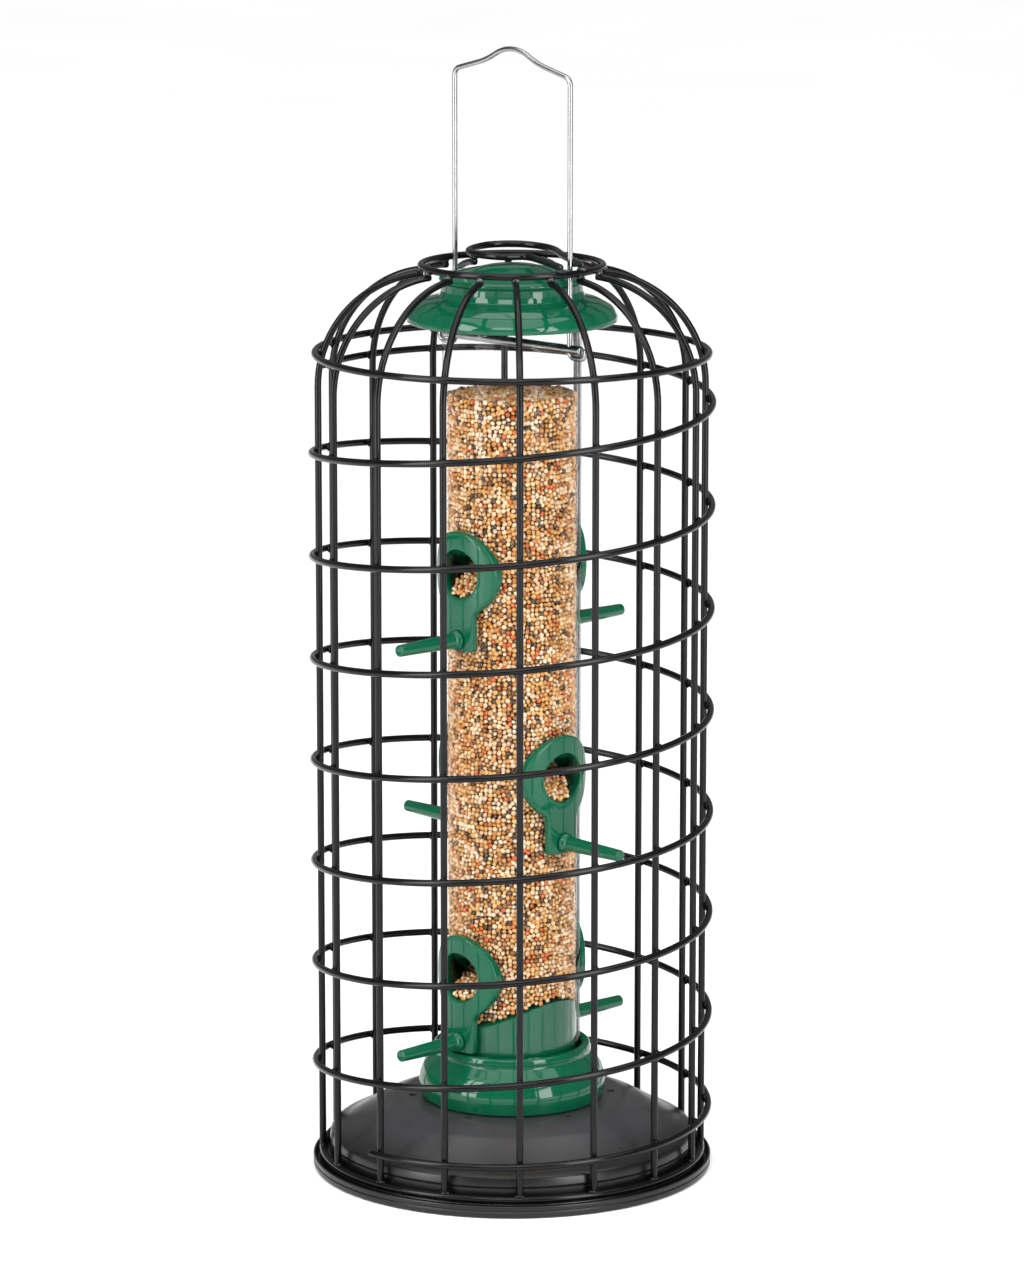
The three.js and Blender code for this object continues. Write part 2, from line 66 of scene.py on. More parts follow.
# ---- Dimensions of the CAD model ---------------------------------------------
WIRE_R = 1.55  # of the cage
SPIRAL_R = 88.45
BAR_R = SPIRAL_R - 2 * WIRE_R - GAP
BAR_COUNT = 16
BAR_STEP = 360 / BAR_COUNT
CAGE_TURN = 3.3
BASE_RING_Z = 7.3
DOME_START_Z = 353  # where the bars start to bend inwards
DOME_BEND_R = 50
DOME_BEND = 85.8  # how far they bend, in degrees
SHOULDER_BEND = 16  # where on the bend the shoulder ring touches
COLLAR_R = 39.8
COLLAR_Z = 406.1
SPIRAL_PITCH = 45.87
SPIRAL_TOP_Z = 357.7
SPIRAL_EASE_IN = (0.15, 0.35)  # turns over which the level start takes up the pitch
SPIRAL_EASE_OUT = (7.2, 7.95)  # turns over which the pitch fades to level
SPIRAL_ZERO_TURN = 226  # the turn at which the spiral's count of turns is 0

TUBE_R = 30.5
TUBE_BORE_R = 29
TUBE_BOTTOM_Z = 36.1
TUBE_TOP_Z = 383.5
SEED_R = TUBE_BORE_R - GAP
SEED_TOP_Z = 349
ROD_TURN = 2.8
ROD_R = 2
ROD_Z = 372.3
ROD_HALF_LENGTH = 41.5
BAIL_WIRE_R = 1.15
BAIL_HALF_WIDTH = 34.4
BAIL_TOP_Z = 500.4  # of the wire's centre line

PORT_PITCH_Z = 91  # the lowest ports are also this high above the ground
PORT_HOLE_R = 11
PORT_HEAD_R = 18.85
PORT_STEM_HALF_WIDTH = 8.5
PORT_STEM_DROP = 34
PORT_PLATE_R = TUBE_R + GAP
PORT_PLATE_T = 2.8
HOOD_R = PORT_HOLE_R + 1.2
HOOD_INNER_R = 17  # how near to the axis a port's hood reaches
HOOD_ROOF_RISE = 46  # degrees by which the hood's roof climbs outwards
WALL_PASS = (20, 40)  # how far out a pin for a hole in the tube's wall starts and ends
SEED_SLOPE = 31  # degrees by which the seed falls towards a port's mouth
SEED_DROP = 10.5  # of that slope below the hole's centre, at the tube's bore
PERCH_DROP = 29.3  # of the perch below the hole's centre
PERCH_TIP_R = 68.4
PEG_R = 2.8  # of the perch's root, which is pressed into the port
PEG_INNER_R = 24

CUP_SOCKET_R = TUBE_R + 0.4
CUP_BOTTOM_Z = 31.9
CUP_FLOOR_Z = 35.8
ROOF_CROWN_Z = 79.3
ROOF_FALL = 0.0143  # the roof is this much lower for each square millimetre of X
TRAY_T = 1
TRAY_TOP_Z = 31.5
DRAIN_HOLES = 6
DRAIN_HOLE_R = 1.75
DRAIN_CIRCLE_R = 44.5
FIRST_DRAIN_TURN = -10
BOLT_R = 2

# ---- The camera's place ------------------------------------------------------
CAMERA_TURN = -44
CAMERA_ELEVATION = 11.39
CAMERA_DISTANCE = 2514.6
CAMERA_AIM_Z = 239.1
CAMERA_LENS = 159.9


# ---- Meshes ------------------------------------------------------------------
def around(r, turn, z):
    """The point at a distance from the tube's axis, a turn and a height."""
    angle = math.radians(turn)
    return Vector((r * math.sin(angle), -r * math.cos(angle), z))


def add(name, data):
    """A new object of the scene, made of a mesh, a lamp or a camera."""
    made = bpy.data.objects.new(name, data)
    bpy.context.scene.collection.objects.link(made)
    return made


def make_object(name, points, faces):
    """An object from points in millimetres, smooth but for its sharp edges."""
    mesh = bpy.data.meshes.new(name)
    mesh.from_pydata([Vector(p) * MM for p in points], [], faces)
    finish_mesh(mesh)
    return add(name, mesh)


def finish_mesh(mesh, sharp=38):
    """Outward faces, and smooth shading across every edge that bends less than sharp degrees."""
    tidy = bmesh.new()
    tidy.from_mesh(mesh)
    bmesh.ops.recalc_face_normals(tidy, faces=tidy.faces)
    tidy.to_mesh(mesh)
    tidy.free()
    mesh.shade_smooth()
    mesh.set_sharp_from_angle(angle=math.radians(sharp))


def wire(name, path, radius, sides=14, closed=False):
    """A round wire along a path of points, with softly rounded ends unless it closes on itself."""
    count = len(path)
    tangents = []
    for i in range(count):
        before = path[(i - 1) % count] if closed or i > 0 else path[i]
        after = path[(i + 1) % count] if closed or i < count - 1 else path[i]
        tangents.append((after - before).normalized())
    side = tangents[0].orthogonal().normalized()
    stations = []
    for i in range(count):
        if i > 0:
            side = tangents[i - 1].rotation_difference(tangents[i]) @ side
        side = (side - tangents[i] * side.dot(tangents[i])).normalized()
        stations.append((path[i], tangents[i], side, radius))
    if closed:
        twist = signed_angle(stations[-1], stations[0])
        stations = [
            (p, t, Matrix.Rotation(-twist * i / count, 3, t) @ s, r)
            for i, (p, t, s, r) in enumerate(stations)
        ]
    else:
        first, last = soft_end(stations[0], 1), soft_end(stations[-1], -1)
        stations = first + stations[1:-1] + last[::-1]
    points = []
    for centre, tangent, start, size in stations:
        other = tangent.cross(start)
        for k in range(sides):
            angle = 2 * math.pi * k / sides
            points.append(centre + (start * math.cos(angle) + other * math.sin(angle)) * size)
    rings = len(stations)
    faces = []
    for i in range(rings if closed else rings - 1):
        j = (i + 1) % rings
        for k in range(sides):
            n = (k + 1) % sides
            faces.append((i * sides + k, i * sides + n, j * sides + n, j * sides + k))
    if not closed:
        faces.append(tuple(range(sides)))
        faces.append(tuple((rings - 1) * sides + k for k in range(sides)))
    return make_object(name, points, faces)


def soft_end(station, inwards):
    """Stations that round off a wire's end; inwards is 1 at its start and -1 at its finish."""
    end, tangent, side, radius = station
    depths_and_widths = ((0, 0.55), (0.14, 0.85), (0.4, 1))  # in the wire's radii
    return [
        (end + tangent * (inwards * radius * depth), tangent, side, radius * width)
        for depth, width in depths_and_widths
    ]


def signed_angle(last, first):
    """How far a frame carried once round a closed path has turned from its start."""
    _, tangent, start, _ = first
    _, before, carried, _ = last
    carried = before.rotation_difference(tangent) @ carried
    return math.atan2(start.cross(carried).dot(tangent), start.dot(carried))


def rounded(outline, steps=5, closed=True):
    """A finer outline: each corner (a, b, radius) becomes an arc that meets both sides."""
    fine = []
    count = len(outline)
    for i, (a, b, *rest) in enumerate(outline):
        radius = rest[0] if rest else 0
        here = Vector((a, b))
        if radius == 0 or (not closed and i in (0, count - 1)):
            fine.append((a, b))
            continue
        back = Vector(outline[i - 1][:2]) - here
        on = Vector(outline[(i + 1) % count][:2]) - here
        half = back.angle(on) / 2
        if half > math.radians(89.5):
            fine.append((a, b))
            continue
        reach = min(radius / math.tan(half), 0.49 * back.length, 0.49 * on.length)
        size = reach * math.tan(half)
        first = here + back.normalized() * reach
        last = here + on.normalized() * reach
        middle = here + (back.normalized() + on.normalized()).normalized() * (size / math.sin(half))
        for k in range(steps + 1):
            spoke = (first - middle).slerp(last - middle, k / steps)
            fine.append(tuple(middle + spoke * size))
    return fine


def turned(name, outline, segments=160):
    """A closed outline of (radius, height) turned about the Z axis."""
    points, rows = [], []
    for r, z in outline:
        if r < 1e-6:
            rows.append([len(points)] * segments)
            points.append(Vector((0, 0, z)))
        else:
            rows.append(list(range(len(points), len(points) + segments)))
            points += [around(r, 360 * k / segments, z) for k in range(segments)]
    faces = []
    for i in range(len(rows)):
        low, high = rows[i], rows[(i + 1) % len(rows)]
        if low[0] == low[-1] and high[0] == high[-1]:
            continue
        for k in range(segments):
            n = (k + 1) % segments
            corners = [low[k], low[n], high[n], high[k]]
            faces.append(tuple(dict.fromkeys(corners)))
    return make_object(name, points, faces)


def turned_outwards(name, outline, turn, z, segments=48):
    """A closed outline of (radius, distance out) turned about a line out from the axis."""
    made = turned(name, outline, segments)
    tilt = Matrix.Rotation(math.radians(90), 4, "X")
    spin = Matrix.Rotation(math.radians(turn), 4, "Z")
    made.data.transform(Matrix.Translation((0, 0, z * MM)) @ spin @ tilt)
    return made


def ball(segments, rings, triangles=False):
    """The points and faces of a ball of radius 1."""
    made = bmesh.new()
    bmesh.ops.create_uvsphere(made, u_segments=segments, v_segments=rings, radius=1)
    if triangles:
        bmesh.ops.triangulate(made, faces=made.faces)
    points = [v.co.copy() for v in made.verts]
    faces = [[v.index for v in f.verts] for f in made.faces]
    made.free()
    return points, faces


def cylinder(radius, bottom, top):
    return [(0, bottom), (radius, bottom), (radius, top), (0, top)]


def pin(radius, start, end, turn, z, segments=48):
    """A round pin along a line out from the axis, between two distances out."""
    return turned_outwards("pin", cylinder(radius, start, end), turn, z, segments)


def boolean(target, others, operation="DIFFERENCE"):
    """Cuts the others out of target, or joins or limits it to them, and uses them up."""
    for other in others:
        modifier = target.modifiers.new("boolean", "BOOLEAN")
        modifier.operation = operation
        modifier.solver = "EXACT"
        modifier.object = other
    depsgraph = bpy.context.evaluated_depsgraph_get()
    mesh = bpy.data.meshes.new_from_object(target.evaluated_get(depsgraph))
    target.modifiers.clear()
    target.data = mesh
    for other in others:
        bpy.data.objects.remove(other)
    finish_mesh(mesh)
    return target


def block(name, xs, ys, zs):
    """A box between two values on each axis."""
    corners = [(x, y, z) for x in xs for y in ys for z in zs]
    faces = [(0, 1, 3, 2), (4, 6, 7, 5), (0, 4, 5, 1), (2, 3, 7, 6), (0, 2, 6, 4), (1, 5, 7, 3)]
    return make_object(name, corners, faces)


def half_space(side, out, z, rise):
    """The space above (side 1) or below (-1) a plane through a point, rising outwards, at turn 0."""
    size = 80
    made = block("half_space", (-size, size), (-size, size), (0, side * size))
    tilt = Matrix.Rotation(-math.radians(rise), 4, "X")
    made.data.transform(Matrix.Translation((0, -out * MM, z * MM)) @ tilt)
    return made


def copied(source, name, turn, z):
    """A copy of a piece made at turn 0, turned about the axis and raised."""
    mesh = source.data.copy()
    mesh.transform(Matrix.Rotation(math.radians(turn), 4, "Z"))
    mesh.transform(Matrix.Translation((0, 0, z * MM)))
    return add(name, mesh)


def coat(piece, material):
    piece.data.materials.clear()
    piece.data.materials.append(material)


def settle(piece, body, material, nodes=()):
    """Gives a finished piece its material and its body, and hides the CAD nodes that it stands for.
    """
    coat(piece, material)
    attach(piece, body)
    if nodes:
        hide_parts(*nodes)
    return piece


# ---- Materials ---------------------------------------------------------------
class Surface:
    """A Principled material, and the nodes that vary it over the piece."""

    def __init__(self, name, color, roughness, metallic=0.0, specular=0.5):
        self.material = bpy.data.materials.new(name)
        self.material.use_nodes = True
        self.material.diffuse_color = (*color, 1)
        self.tree = self.material.node_tree
        self.shader = self.tree.nodes["Principled BSDF"]
        self.shader.inputs["Base Color"].default_value = (*color, 1)
        self.shader.inputs["Roughness"].default_value = roughness
        self.shader.inputs["Metallic"].default_value = metallic
        self.shader.inputs["Specular IOR Level"].default_value = specular
        self.place = self.tree.nodes.new("ShaderNodeTexCoord").outputs["Object"]

    def node(self, kind, **values):
        made = self.tree.nodes.new(kind)
        for key, value in values.items():
            setattr(made, key, value)
        return made

    def link(self, source, target):
        self.tree.links.new(source, target)

    def noise(self, scale, detail=2.0):
        made = self.node("ShaderNodeTexNoise")
        made.inputs["Scale"].default_value = scale
        made.inputs["Detail"].default_value = detail
        self.link(self.place, made.inputs["Vector"])
        return made.outputs["Fac"]

    def mapped(self, source, low, high, to_low=0.0, to_high=1.0):
        """A number that goes from to_low to to_high while the source goes from low to high."""
        made = self.node("ShaderNodeMapRange")
        made.inputs["From Min"].default_value = low
        made.inputs["From Max"].default_value = high
        made.inputs["To Min"].default_value = to_low
        made.inputs["To Max"].default_value = to_high
        self.link(source, made.inputs["Value"])
        return made.outputs["Result"]

    def height(self, low, high):
        """0 at one height, rising to 1 at another, in millimetres."""
        apart = self.node("ShaderNodeSeparateXYZ")
        self.link(self.place, apart.inputs["Vector"])
        return self.mapped(apart.outputs["Z"], low * MM, high * MM)

    def outwards(self, inner, outer):
        """0 at one distance from the feeder's axis, rising to 1 at another, in millimetres."""
        flat = self.node("ShaderNodeVectorMath", operation="MULTIPLY")
        flat.inputs[1].default_value = (1, 1, 0)
        self.link(self.place, flat.inputs[0])
        reach = self.node("ShaderNodeVectorMath", operation="LENGTH")
        self.link(flat.outputs["Vector"], reach.inputs[0])
        return self.mapped(reach.outputs["Value"], inner * MM, outer * MM)

    def ramp(self, source, stops, constant=False):
        """A colour from stops of (position, colour), blended or each held up to the next."""
        made = self.node("ShaderNodeValToRGB")
        made.color_ramp.interpolation = "CONSTANT" if constant else "LINEAR"
        elements = made.color_ramp.elements
        while len(elements) < len(stops):
            elements.new(1.0)
        for element, (position, color) in zip(elements, stops):
            element.position = position
            element.color = (*color, 1)
        self.link(source, made.inputs["Fac"])
        return made.outputs["Color"]

    def paint(self, color):
        self.link(color, self.shader.inputs["Base Color"])

    def multiply(self, one, other):
        made = self.node("ShaderNodeMix", data_type="RGBA", blend_type="MULTIPLY")
        made.inputs["Factor"].default_value = 1
        self.link(one, made.inputs["A"])
        self.link(other, made.inputs["B"])
        return made.outputs["Result"]

    def vary(self, source, socket, low, high):
        """Drives one number of the shader between low and high, as a noise varies."""
        self.link(self.mapped(source, 0.3, 0.7, low, high), self.shader.inputs[socket])

    def bump(self, source, strength, depth_mm):
        made = self.node("ShaderNodeBump")
        made.inputs["Strength"].default_value = strength
        made.inputs["Distance"].default_value = depth_mm * MM
        self.link(source, made.inputs["Height"])
        self.link(made.outputs["Normal"], self.shader.inputs["Normal"])


def coated_wire():
    """Satin black coating over wire, a little thicker and glossier in places."""
    surface = Surface("black_coating", (0.003, 0.003, 0.004), 0.18, specular=0.2)
    stops = [(0.3, (0.002, 0.002, 0.0025)), (0.7, (0.004, 0.004, 0.0048))]
    surface.paint(surface.ramp(surface.noise(220), stops))
    surface.vary(surface.noise(200), "Roughness", 0.15, 0.2)
    surface.bump(surface.noise(350, 2), 0.06, 0.03)
    return surface.material


def weld_metal():
    """The bead of a weld, where the coating is thin and shows grey metal."""
    surface = Surface("weld_metal", (0.05, 0.05, 0.055), 0.25, metallic=0.3)
    stops = [(0.45, (0.008, 0.008, 0.01)), (0.7, (0.1, 0.1, 0.11))]
    surface.paint(surface.ramp(surface.noise(260), stops))
    surface.vary(surface.noise(500), "Roughness", 0.18, 0.34)
    surface.bump(surface.noise(700, 3), 0.4, 0.1)
    return surface.material


# painted light and shade on the tray: darkest on the rim, lighter up the wall, lightest on the top
PAINTED_LIGHT_FROM_Z = 6
PAINTED_LIGHT_TO_Z = 26
TRAY_PAINTED_LIGHT = [  # the tray's colour from the lower of those heights up to the higher
    (0, (0.003, 0.003, 0.0035)),
    (0.5, (0.006, 0.006, 0.0065)),
    (0.72, (0.02, 0.02, 0.021)),
    (1, (0.034, 0.033, 0.036)),
]


def tray_paint():
    """Satin black powder paint with a fine orange-peel grain, with painted shade on the rim and lower
    wall and painted light on the top.
    """
    surface = Surface("tray_paint", (0.02, 0.02, 0.022), 0.3, specular=0.36)
    color = surface.ramp(surface.height(PAINTED_LIGHT_FROM_Z, PAINTED_LIGHT_TO_Z), TRAY_PAINTED_LIGHT)
    cloud = surface.ramp(surface.noise(35, 4), [(0.3, (0.9, 0.9, 0.9)), (0.7, (1, 1, 1))])
    surface.paint(surface.multiply(color, cloud))
    surface.vary(surface.noise(60, 3), "Roughness", 0.27, 0.33)
    surface.bump(surface.noise(1400, 2), 0.25, 0.03)
    return surface.material


def green_plastic(name, specular, shaded_throat=False):
    """Gloss green moulded plastic; where asked, darkened down in the ports' throats as painted shade.
    """
    surface = Surface(name, (0.002, 0.08, 0.037), 0.08, specular=specular)
    stops = [(0.3, (0.0012, 0.073, 0.033)), (0.7, (0.0018, 0.086, 0.04))]
    color = surface.ramp(surface.noise(18, 2), stops)
    if shaded_throat:
        # painted shade: inside the plate's face, towards the axis, the colour falls to a tenth
        depth = surface.outwards(PORT_PLATE_R - 3, PORT_PLATE_R + 0.8)
        shade = surface.ramp(depth, [(0, (0.1, 0.1, 0.1)), (1, (1, 1, 1))])
        color = surface.multiply(color, shade)
    surface.paint(color)
    surface.vary(surface.noise(150, 3), "Roughness", 0.05, 0.1)
    surface.bump(surface.noise(45, 1), 0.15, 0.1)
    return surface.material


def bright_wire():
    """Bright zinc plating, a little dulled in places."""
    surface = Surface("bright_wire", (0.3, 0.3, 0.31), 0.22, metallic=1.0)
    dull = surface.noise(90, 3)
    surface.paint(surface.ramp(dull, [(0.35, (0.27, 0.27, 0.28)), (0.65, (0.32, 0.32, 0.33))]))
    surface.vary(dull, "Roughness", 0.2, 0.26)
    return surface.material


def clear_plastic():
    """Clear tube wall: see-through, with a sheen and a grey tint that grow towards its edges."""
    surface = Surface("clear_plastic", (0.95, 0.97, 0.97), 0.04)
    tree = surface.tree
    tree.nodes.remove(surface.shader)
    clear = surface.node("ShaderNodeBsdfTransparent")
    gloss = surface.node("ShaderNodeBsdfGlossy")
    gloss.inputs["Color"].default_value = (1, 1, 1, 1)
    gloss.inputs["Roughness"].default_value = 0.03
    facing = surface.node("ShaderNodeLayerWeight")
    rim = surface.node("ShaderNodeMath", operation="POWER")
    rim.inputs[1].default_value = 5
    surface.link(facing.outputs["Facing"], rim.inputs[0])
    dark_rim = [(0.0, (0.99, 0.99, 0.99)), (0.78, (0.97, 0.97, 0.97)), (0.9, (0.5, 0.5, 0.51))]
    tint = surface.node("ShaderNodeMix", data_type="RGBA")
    tint.inputs["A"].default_value = (0.99, 0.99, 0.99, 1)
    surface.link(surface.outwards(TUBE_BORE_R + 0.5, TUBE_R - 0.5), tint.inputs["Factor"])
    surface.link(surface.ramp(facing.outputs["Facing"], dark_rim), tint.inputs["B"])
    surface.link(tint.outputs["Result"], clear.inputs["Color"])
    sheen = surface.mapped(rim.outputs["Value"], 0, 1, 0.005, 0.355)
    mix = surface.node("ShaderNodeMixShader")
    surface.link(sheen, mix.inputs["Fac"])
    surface.link(clear.outputs["BSDF"], mix.inputs[1])
    surface.link(gloss.outputs["BSDF"], mix.inputs[2])
    surface.link(mix.outputs["Shader"], tree.nodes["Material Output"].inputs["Surface"])
    return surface.material


SEED_COLORS = [  # share of the mix from which each kind starts
    (0.00, (0.70, 0.40, 0.14)),
    (0.28, (0.84, 0.66, 0.46)),
    (0.52, (0.78, 0.56, 0.38)),
    (0.66, (0.55, 0.24, 0.05)),
    (0.82, (0.60, 0.13, 0.02)),
    (0.87, (0.24, 0.115, 0.04)),
    (0.96, (0.075, 0.045, 0.026)),
]


def seed_stops(light):
    return [(at, tuple(light * c for c in color)) for at, color in SEED_COLORS]


def seed_coat(name, light):
    """Dry seed coats: each seed has a kind of its own, with a paler and a darker end."""
    surface = Surface(name, tuple(light * c for c in (0.55, 0.36, 0.14)), 0.36)
    kind = surface.node("ShaderNodeAttribute", attribute_name="kind")
    color = surface.ramp(kind.outputs["Fac"], seed_stops(light), constant=True)
    ends = surface.ramp(surface.noise(450, 2), [(0.3, (0.66, 0.58, 0.5)), (0.6, (1, 1, 1))])
    drift = surface.ramp(surface.noise(45, 3), [(0.4, (0.9, 0.79, 0.62)), (0.6, (1, 1, 1))])
    surface.paint(surface.multiply(surface.multiply(color, ends), drift))
    surface.vary(surface.noise(300), "Roughness", 0.28, 0.48)
    return surface.material


def packed_seed():
    """The seed behind the outer seeds, mostly in shadow; its colours are darkened to a fifth as
    painted shade.
    """
    surface = Surface("packed_seed", (0.2, 0.12, 0.05), 0.6)
    cells = surface.node("ShaderNodeTexVoronoi")
    cells.inputs["Scale"].default_value = 480
    surface.link(surface.place, cells.inputs["Vector"])
    grey = surface.node("ShaderNodeSeparateColor")
    surface.link(cells.outputs["Color"], grey.inputs["Color"])
    surface.paint(surface.ramp(grey.outputs["Red"], seed_stops(0.2), constant=True))
    surface.bump(cells.outputs["Distance"], 0.8, -0.6)
    return surface.material


def floor_paper():
    surface = Surface("pale_floor", (0.9, 0.9, 0.9), 0.7)
    surface.vary(surface.noise(3), "Roughness", 0.65, 0.75)
    return surface.material


BLACK_COATING = coated_wire()
WELD_METAL = weld_metal()
TRAY_PAINT = tray_paint()
GREEN_PLASTIC = green_plastic("green_plastic", 0.38)
# the ports' plastic, with painted shade in their throats
PORT_PLASTIC = green_plastic("port_plastic", 0.3, shaded_throat=True)
BRIGHT_WIRE = bright_wire()
CLEAR_PLASTIC = clear_plastic()
SEED_COAT = seed_coat("seed_coat", 0.91)
# the seeds behind the outer ones: the same coats darkened to about a quarter as painted shade
SHADED_SEED = seed_coat("shaded_seed", 0.27)
PACKED_SEED = packed_seed()

# ---- Cage --------------------------------------------------------------------
DOME_CENTRE_R = BAR_R - DOME_BEND_R
BAR_TURNS = [CAGE_TURN + i * BAR_STEP for i in range(BAR_COUNT)]


def dome(bend, clear=0.0):
    """(radius, height) on a bar's bend, or clear of it on the outside."""
    reach = DOME_BEND_R + clear
    angle = math.radians(bend)
    return DOME_CENTRE_R + reach * math.cos(angle), DOME_START_Z + reach * math.sin(angle)


def bar_path(turn):
    foot = BASE_RING_Z + WIRE_R + GAP
    straight = [around(BAR_R, turn, foot + (DOME_START_Z - foot) * t) for t in (0, 0.02, 0.5, 0.98)]
    bent = [dome(DOME_BEND * i / 24) for i in range(25)]
    return straight + [around(r, turn, z) for r, z in bent]


def cage_piece(piece, *nodes):
    """A coated wire of the cage, which stands for some CAD nodes or none."""
    return settle(piece, "cage", BLACK_COATING, nodes)


for i, turn in enumerate(BAR_TURNS, 1):
    cage_piece(wire(f"bar_{i:02d}", bar_path(turn), WIRE_R), f"cage_bar_{i:02d}")


def ring(name, node, r, z):
    path = [around(r, 2 * k, z) for k in range(180)]
    cage_piece(wire(name, path, WIRE_R, closed=True), node)


shoulder_r, shoulder_z = dome(SHOULDER_BEND, 2 * WIRE_R + GAP)
ring("ring_at_base", "base_ring", BAR_R, BASE_RING_Z)
ring("ring_at_shoulder", "shoulder_ring", shoulder_r, shoulder_z)
ring("ring_at_collar", "collar_ring", COLLAR_R, COLLAR_Z)


def spiral_z(turns):
    """Height after a count of turns: level, then falling at the pitch, then level again."""
    (in0, in1), (out0, out1) = SPIRAL_EASE_IN, SPIRAL_EASE_OUT
    eased = min(max(turns, in0), in1) - in0
    steady = min(max(turns, in1), out0) - in1
    fading = min(max(turns, out0), out1) - out0
    fall = eased**2 / (2 * (in1 - in0)) + steady + fading - fading**2 / (2 * (out1 - out0))
    return SPIRAL_TOP_Z - SPIRAL_PITCH * fall


SPIRAL_START_TURN = CAGE_TURN + 9 * BAR_STEP  # it starts and ends on a bar
SPIRAL_SWEEP = 125 * BAR_STEP
SPIRAL_OVERHANG = 2.2  # degrees past the first and the last bar
SPIRAL_INSET = 0.35  # a round wire reaches further out than the CAD model's six-sided one


def spiral_point(turn):
    return around(SPIRAL_R - SPIRAL_INSET, turn, spiral_z((SPIRAL_ZERO_TURN - turn) / 360))


spiral_first = SPIRAL_START_TURN + SPIRAL_OVERHANG
spiral_last = SPIRAL_START_TURN - SPIRAL_SWEEP - SPIRAL_OVERHANG
spiral_steps = 1400
spiral_path = [
    spiral_point(spiral_first + (spiral_last - spiral_first) * k / spiral_steps)
    for k in range(spiral_steps + 1)
]
spiral_nodes = [f"spiral_turn_{i}" for i in range(1, 9)]
cage_piece(wire("spiral", spiral_path, WIRE_R), *spiral_nodes)


def smooth_path(corners, steps):
    """A centripetal Catmull-Rom curve through every corner."""
    padded = [corners[0] * 2 - corners[1], *corners, corners[-1] * 2 - corners[-2]]
    path = []
    for p0, p1, p2, p3 in zip(padded, padded[1:], padded[2:], padded[3:]):
        times = [0.0]
        for a, b in ((p0, p1), (p1, p2), (p2, p3)):
            times.append(times[-1] + max((b - a).length, 1e-6) ** 0.5)
        t0, t1, t2, t3 = times
        for k in range(steps):
            t = t1 + (t2 - t1) * k / steps
            a1 = p0.lerp(p1, (t - t0) / (t1 - t0))
            a2 = p1.lerp(p2, (t - t1) / (t2 - t1))
            a3 = p2.lerp(p3, (t - t2) / (t3 - t2))
            b1 = a1.lerp(a2, (t - t0) / (t2 - t0))
            b2 = a2.lerp(a3, (t - t1) / (t3 - t1))
            path.append(b1.lerp(b2, (t - t1) / (t2 - t1)))
    return path + [corners[-1]]


LOOP_FOOT_Z = COLLAR_Z + 2 * WIRE_R + GAP
LOOP_END_R = 40.6
loop_corners = [  # the bent wire that lies on the collar ring, from one end to the other
    around(LOOP_END_R, -12.9, LOOP_FOOT_Z),
    Vector((-1.5, -22, LOOP_FOOT_Z + 0.2)),
    Vector((2.5, -6, LOOP_FOOT_Z + 0.5)),
    Vector((-6.5, 0, LOOP_FOOT_Z + 0.7)),
    Vector((-9.4, 12.5, LOOP_FOOT_Z + 1)),
    Vector((-4.8, 22.2, LOOP_FOOT_Z + 1.4)),
    Vector((11, 26.4, LOOP_FOOT_Z + 2)),
    Vector((23, 18.6, LOOP_FOOT_Z + 2)),
    Vector((26.4, 3.9, LOOP_FOOT_Z + 1.4)),
    Vector((16.5, -16, LOOP_FOOT_Z + 0.4)),
    around(LOOP_END_R, 4.6, LOOP_FOOT_Z),
]
cage_piece(wire("loop_on_collar", smooth_path(loop_corners, 12), WIRE_R), "top_loop")


def welds(name, lumps):
    """Smooth lumps where wires are welded, each ((r, turn, z), (half sizes along, out and up))."""
    shape, shape_faces = ball(12, 8)
    points, faces = [], []
    for place, size in lumps:
        spin = Matrix.Rotation(math.radians(place[1]), 3, "Z")
        faces += [[len(points) + n for n in face] for face in shape_faces]
        points += [around(*place) + spin @ Vector(a * b for a, b in zip(v, size)) for v in shape]
    return make_object(name, points, faces)


wire_welds, collar_welds = [], []
weld_r, weld_z = dome(SHOULDER_BEND, WIRE_R + GAP / 2)
for turn in BAR_TURNS:
    wire_welds.append(((BAR_R, turn, BASE_RING_Z + WIRE_R), (2.6, 1.5, 1.1)))
    wire_welds.append(((weld_r, turn, weld_z), (2.1, 1.0, 2.1)))
    for k in range(-1, 9):
        crossing = turn + 360 * (1 - k)
        if spiral_last < crossing < spiral_first:
            height = spiral_z((SPIRAL_ZERO_TURN - crossing) / 360)
            wire_welds.append(((BAR_R + WIRE_R + GAP / 2, crossing, height), (2.0, 0.9, 2.0)))
    collar_welds.append(((COLLAR_R + 0.3, turn, COLLAR_Z - WIRE_R), (2.0, 1.7, 1.3)))
for corner in (loop_corners[0], loop_corners[-1]):
    turn = math.degrees(math.atan2(corner.x, -corner.y))
    collar_welds.append(((COLLAR_R + 0.3, turn, COLLAR_Z + WIRE_R + GAP / 2), (2.4, 2.0, 1.0)))
cage_piece(welds("welds_on_wires", wire_welds))
settle(welds("welds_on_collar", collar_welds), "cage", WELD_METAL)

